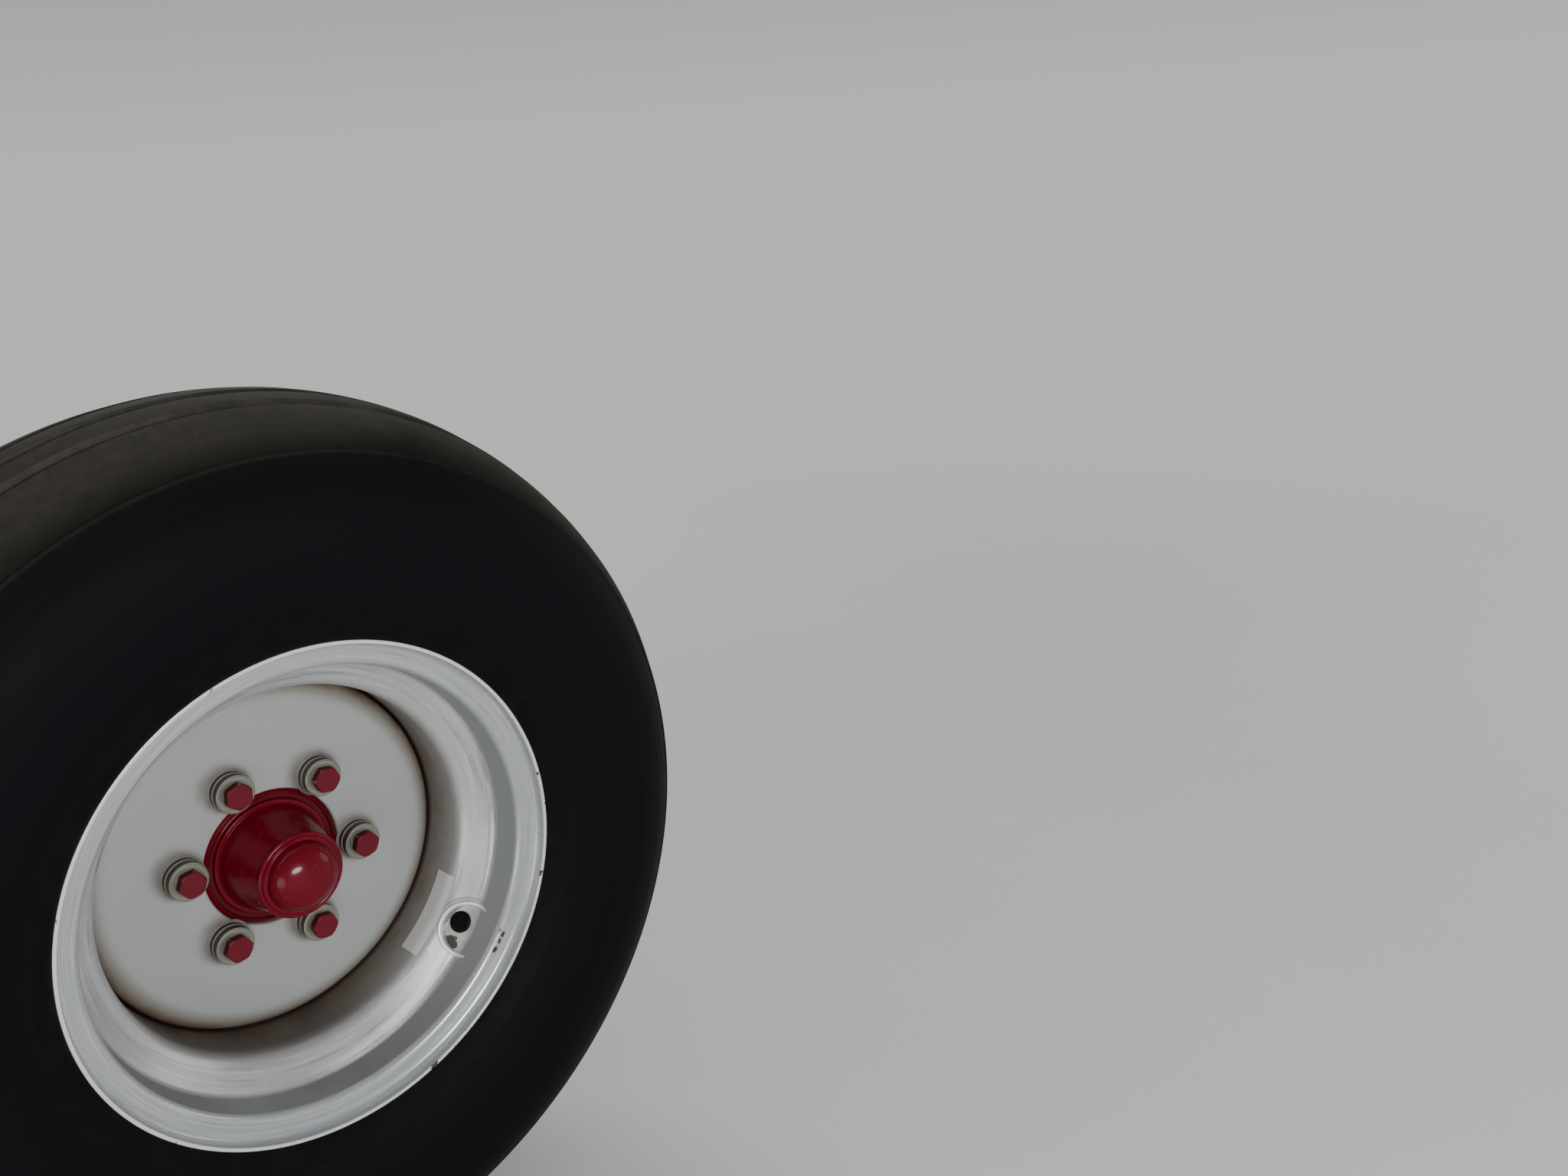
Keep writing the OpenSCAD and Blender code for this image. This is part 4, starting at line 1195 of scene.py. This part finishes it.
def make_bead(name, depth, radius, leg, ripples, body, material, node, slot):
    """Rippled bead in the corner at a depth and radius. A positive leg runs out and forward."""
    cols, rows = 720, 8
    rng = random.Random(7)
    long_wave, short_wave = 6 * rng.uniform(0, 1), 6 * rng.uniform(0, 1)
    verts = []
    for k in range(rows + 1):
        t = math.radians(90 * k / rows)
        for c in range(cols):
            a = 2 * math.pi * c / cols
            ripple = 0.5 + 0.5 * math.sin(a * ripples + 1.4 * math.sin(t * 2))
            wave = math.sin(5 * a + long_wave) * 0.5 + math.sin(11 * a + short_wave) * 0.5
            size = leg * (1 - 0.05 * (1 - ripple) - 0.05 * (wave * 0.5 + 0.5))
            verts.append(place(depth - size * math.cos(t), radius + size * math.sin(t),
                               math.degrees(a)))
    verts += turned([(depth, radius)], cols)
    make(name, verts, ring_faces(rows + 2, cols), material, body, sharp=60.0, slot=slot,
         replaces=(node,))


make_bead("flange_bead", MOUNT_DEPTH - SPINDLE_FLANGE_T, SPINDLE_R + 0.2, 7.0, 60,
          "spindle_body", RED, "flange_weld", "hub_red")
make_bead("skirt_bead", skirt_end, WELL_R - SEAT_GAP, -6.0, 210,
          "wheel", SILVER, "disc_weld", "disc_grey")

# Nodes whose solids stay as they are get their materials here
for node, material in (("spindle", STEEL), ("spindle_flange", RED), ("grease_seal", RUBBER),
                       ("valve_stem", RUBBER), ("valve_cap", RUBBER)):
    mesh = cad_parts[node].data
    mesh.materials.clear()
    mesh.materials.append(material)


# Floor, light and camera, in metres
FLOOR_Z = -TYRE_R * MM
FLOOR_MIDDLE = -0.17
FLOOR_RINGS = (1.0, 3.0, 9.0, 40.0)
# Distances from the row's origin between which the floor fades out
FADE_FROM, FADE_TO = 0.7, 3.2


def make_floor():
    cols = 96
    verts = [(0, FLOOR_MIDDLE, FLOOR_Z)]
    for r in FLOOR_RINGS:
        for c in range(cols):
            a = 2 * math.pi * c / cols
            verts.append((r * math.cos(a), r * math.sin(a) + FLOOR_MIDDLE, FLOOR_Z))
    faces = fan(1, cols, 0) + ring_faces(len(FLOOR_RINGS), cols, closed_rows=False, first=1)
    mesh = bpy.data.meshes.new("floor")
    mesh.from_pydata(verts, [], faces)
    mesh.materials.append(pale_floor())
    link("floor", mesh)


make_floor()


def soft_light(name, location, target, size, power, colour, height=None):
    data = bpy.data.lights.new(name, "AREA")
    data.shape = "ELLIPSE" if height else "DISK"
    data.size = size
    if height:
        data.size_y = height
    data.energy = power
    data.color = colour
    obj = link(name, data)
    obj.location = location
    obj.rotation_euler = (Vector(target) - Vector(location)).to_track_quat("-Z", "Y").to_euler()


RIM_MIDDLE = (0, -0.2, 0)
soft_light("key", (-0.45, -3.3, 0.85), RIM_MIDDLE, 1.4, 86, (0.99, 1.0, 1.0), height=0.7)
soft_light("low", (-2.5, -1.7, -0.3), RIM_MIDDLE, 1.8, 26, (0.98, 0.99, 1.0))
soft_light("glint", (-2.7, 0.75, 0.25), RIM_MIDDLE, 0.35, 5, (1.0, 1.0, 1.0))
soft_light("side", (2.6, -1.2, 0.35), RIM_MIDDLE, 1.2, 7, (0.97, 0.985, 1.0))
soft_light("back", (1.2, 2.6, 1.8), (0, 0, 0), 2.0, 45, (1.0, 1.0, 1.0))

# Backdrop: its light by the height of the direction, from 0 straight down to 1 straight up
HORIZON, LOW_SKY, SKY = 0.5, 0.56, 0.75
world = bpy.data.worlds.new("studio")
bpy.context.scene.world = world
world.use_nodes = True
tree = world.node_tree
where = tree.nodes.new("ShaderNodeTexCoord")
split = tree.nodes.new("ShaderNodeSeparateXYZ")
rise = tree.nodes.new("ShaderNodeMath")
rise.operation = "MULTIPLY_ADD"
rise.inputs[1].default_value = 0.5
rise.inputs[2].default_value = 0.5
ramp = tree.nodes.new("ShaderNodeValToRGB")
stops = ramp.color_ramp.elements
stops[0].position = HORIZON
stops[0].color = (0.60, 0.60, 0.59, 1)
stops[1].position = SKY
stops[1].color = (0.24, 0.245, 0.25, 1)
stops.new(LOW_SKY).color = (0.44, 0.44, 0.43, 1)
tree.links.new(where.outputs["Generated"], split.inputs[0])
tree.links.new(split.outputs[2], rise.inputs[0])
tree.links.new(rise.outputs[0], ramp.inputs[0])
tree.links.new(ramp.outputs[0], tree.nodes["Background"].inputs["Color"])

# The photograph's camera, as fitted: focal length in pixels of its width, place and axes
FOCAL_PX, PHOTO_WIDTH, SENSOR = 1790.0, 2048.0, 36.0
EYE = (-0.40649, -1.24053, 0.5601)
right = Vector((0.69221, -0.71785, -0.07448))
forward = Vector((0.66356, 0.67363, -0.32545)).normalized()
right = (right - forward * right.dot(forward)).normalized()
up = right.cross(forward)
camera = bpy.data.cameras.new("camera")
camera.sensor_width = SENSOR
camera.lens = FOCAL_PX / PHOTO_WIDTH * SENSOR
camera.clip_start, camera.clip_end = 0.05, 200.0
view = link("camera", camera)
view.matrix_world = Matrix([(right[k], up[k], -forward[k], EYE[k]) for k in range(3)]
                           + [(0, 0, 0, 1)])
bpy.context.scene.camera = view
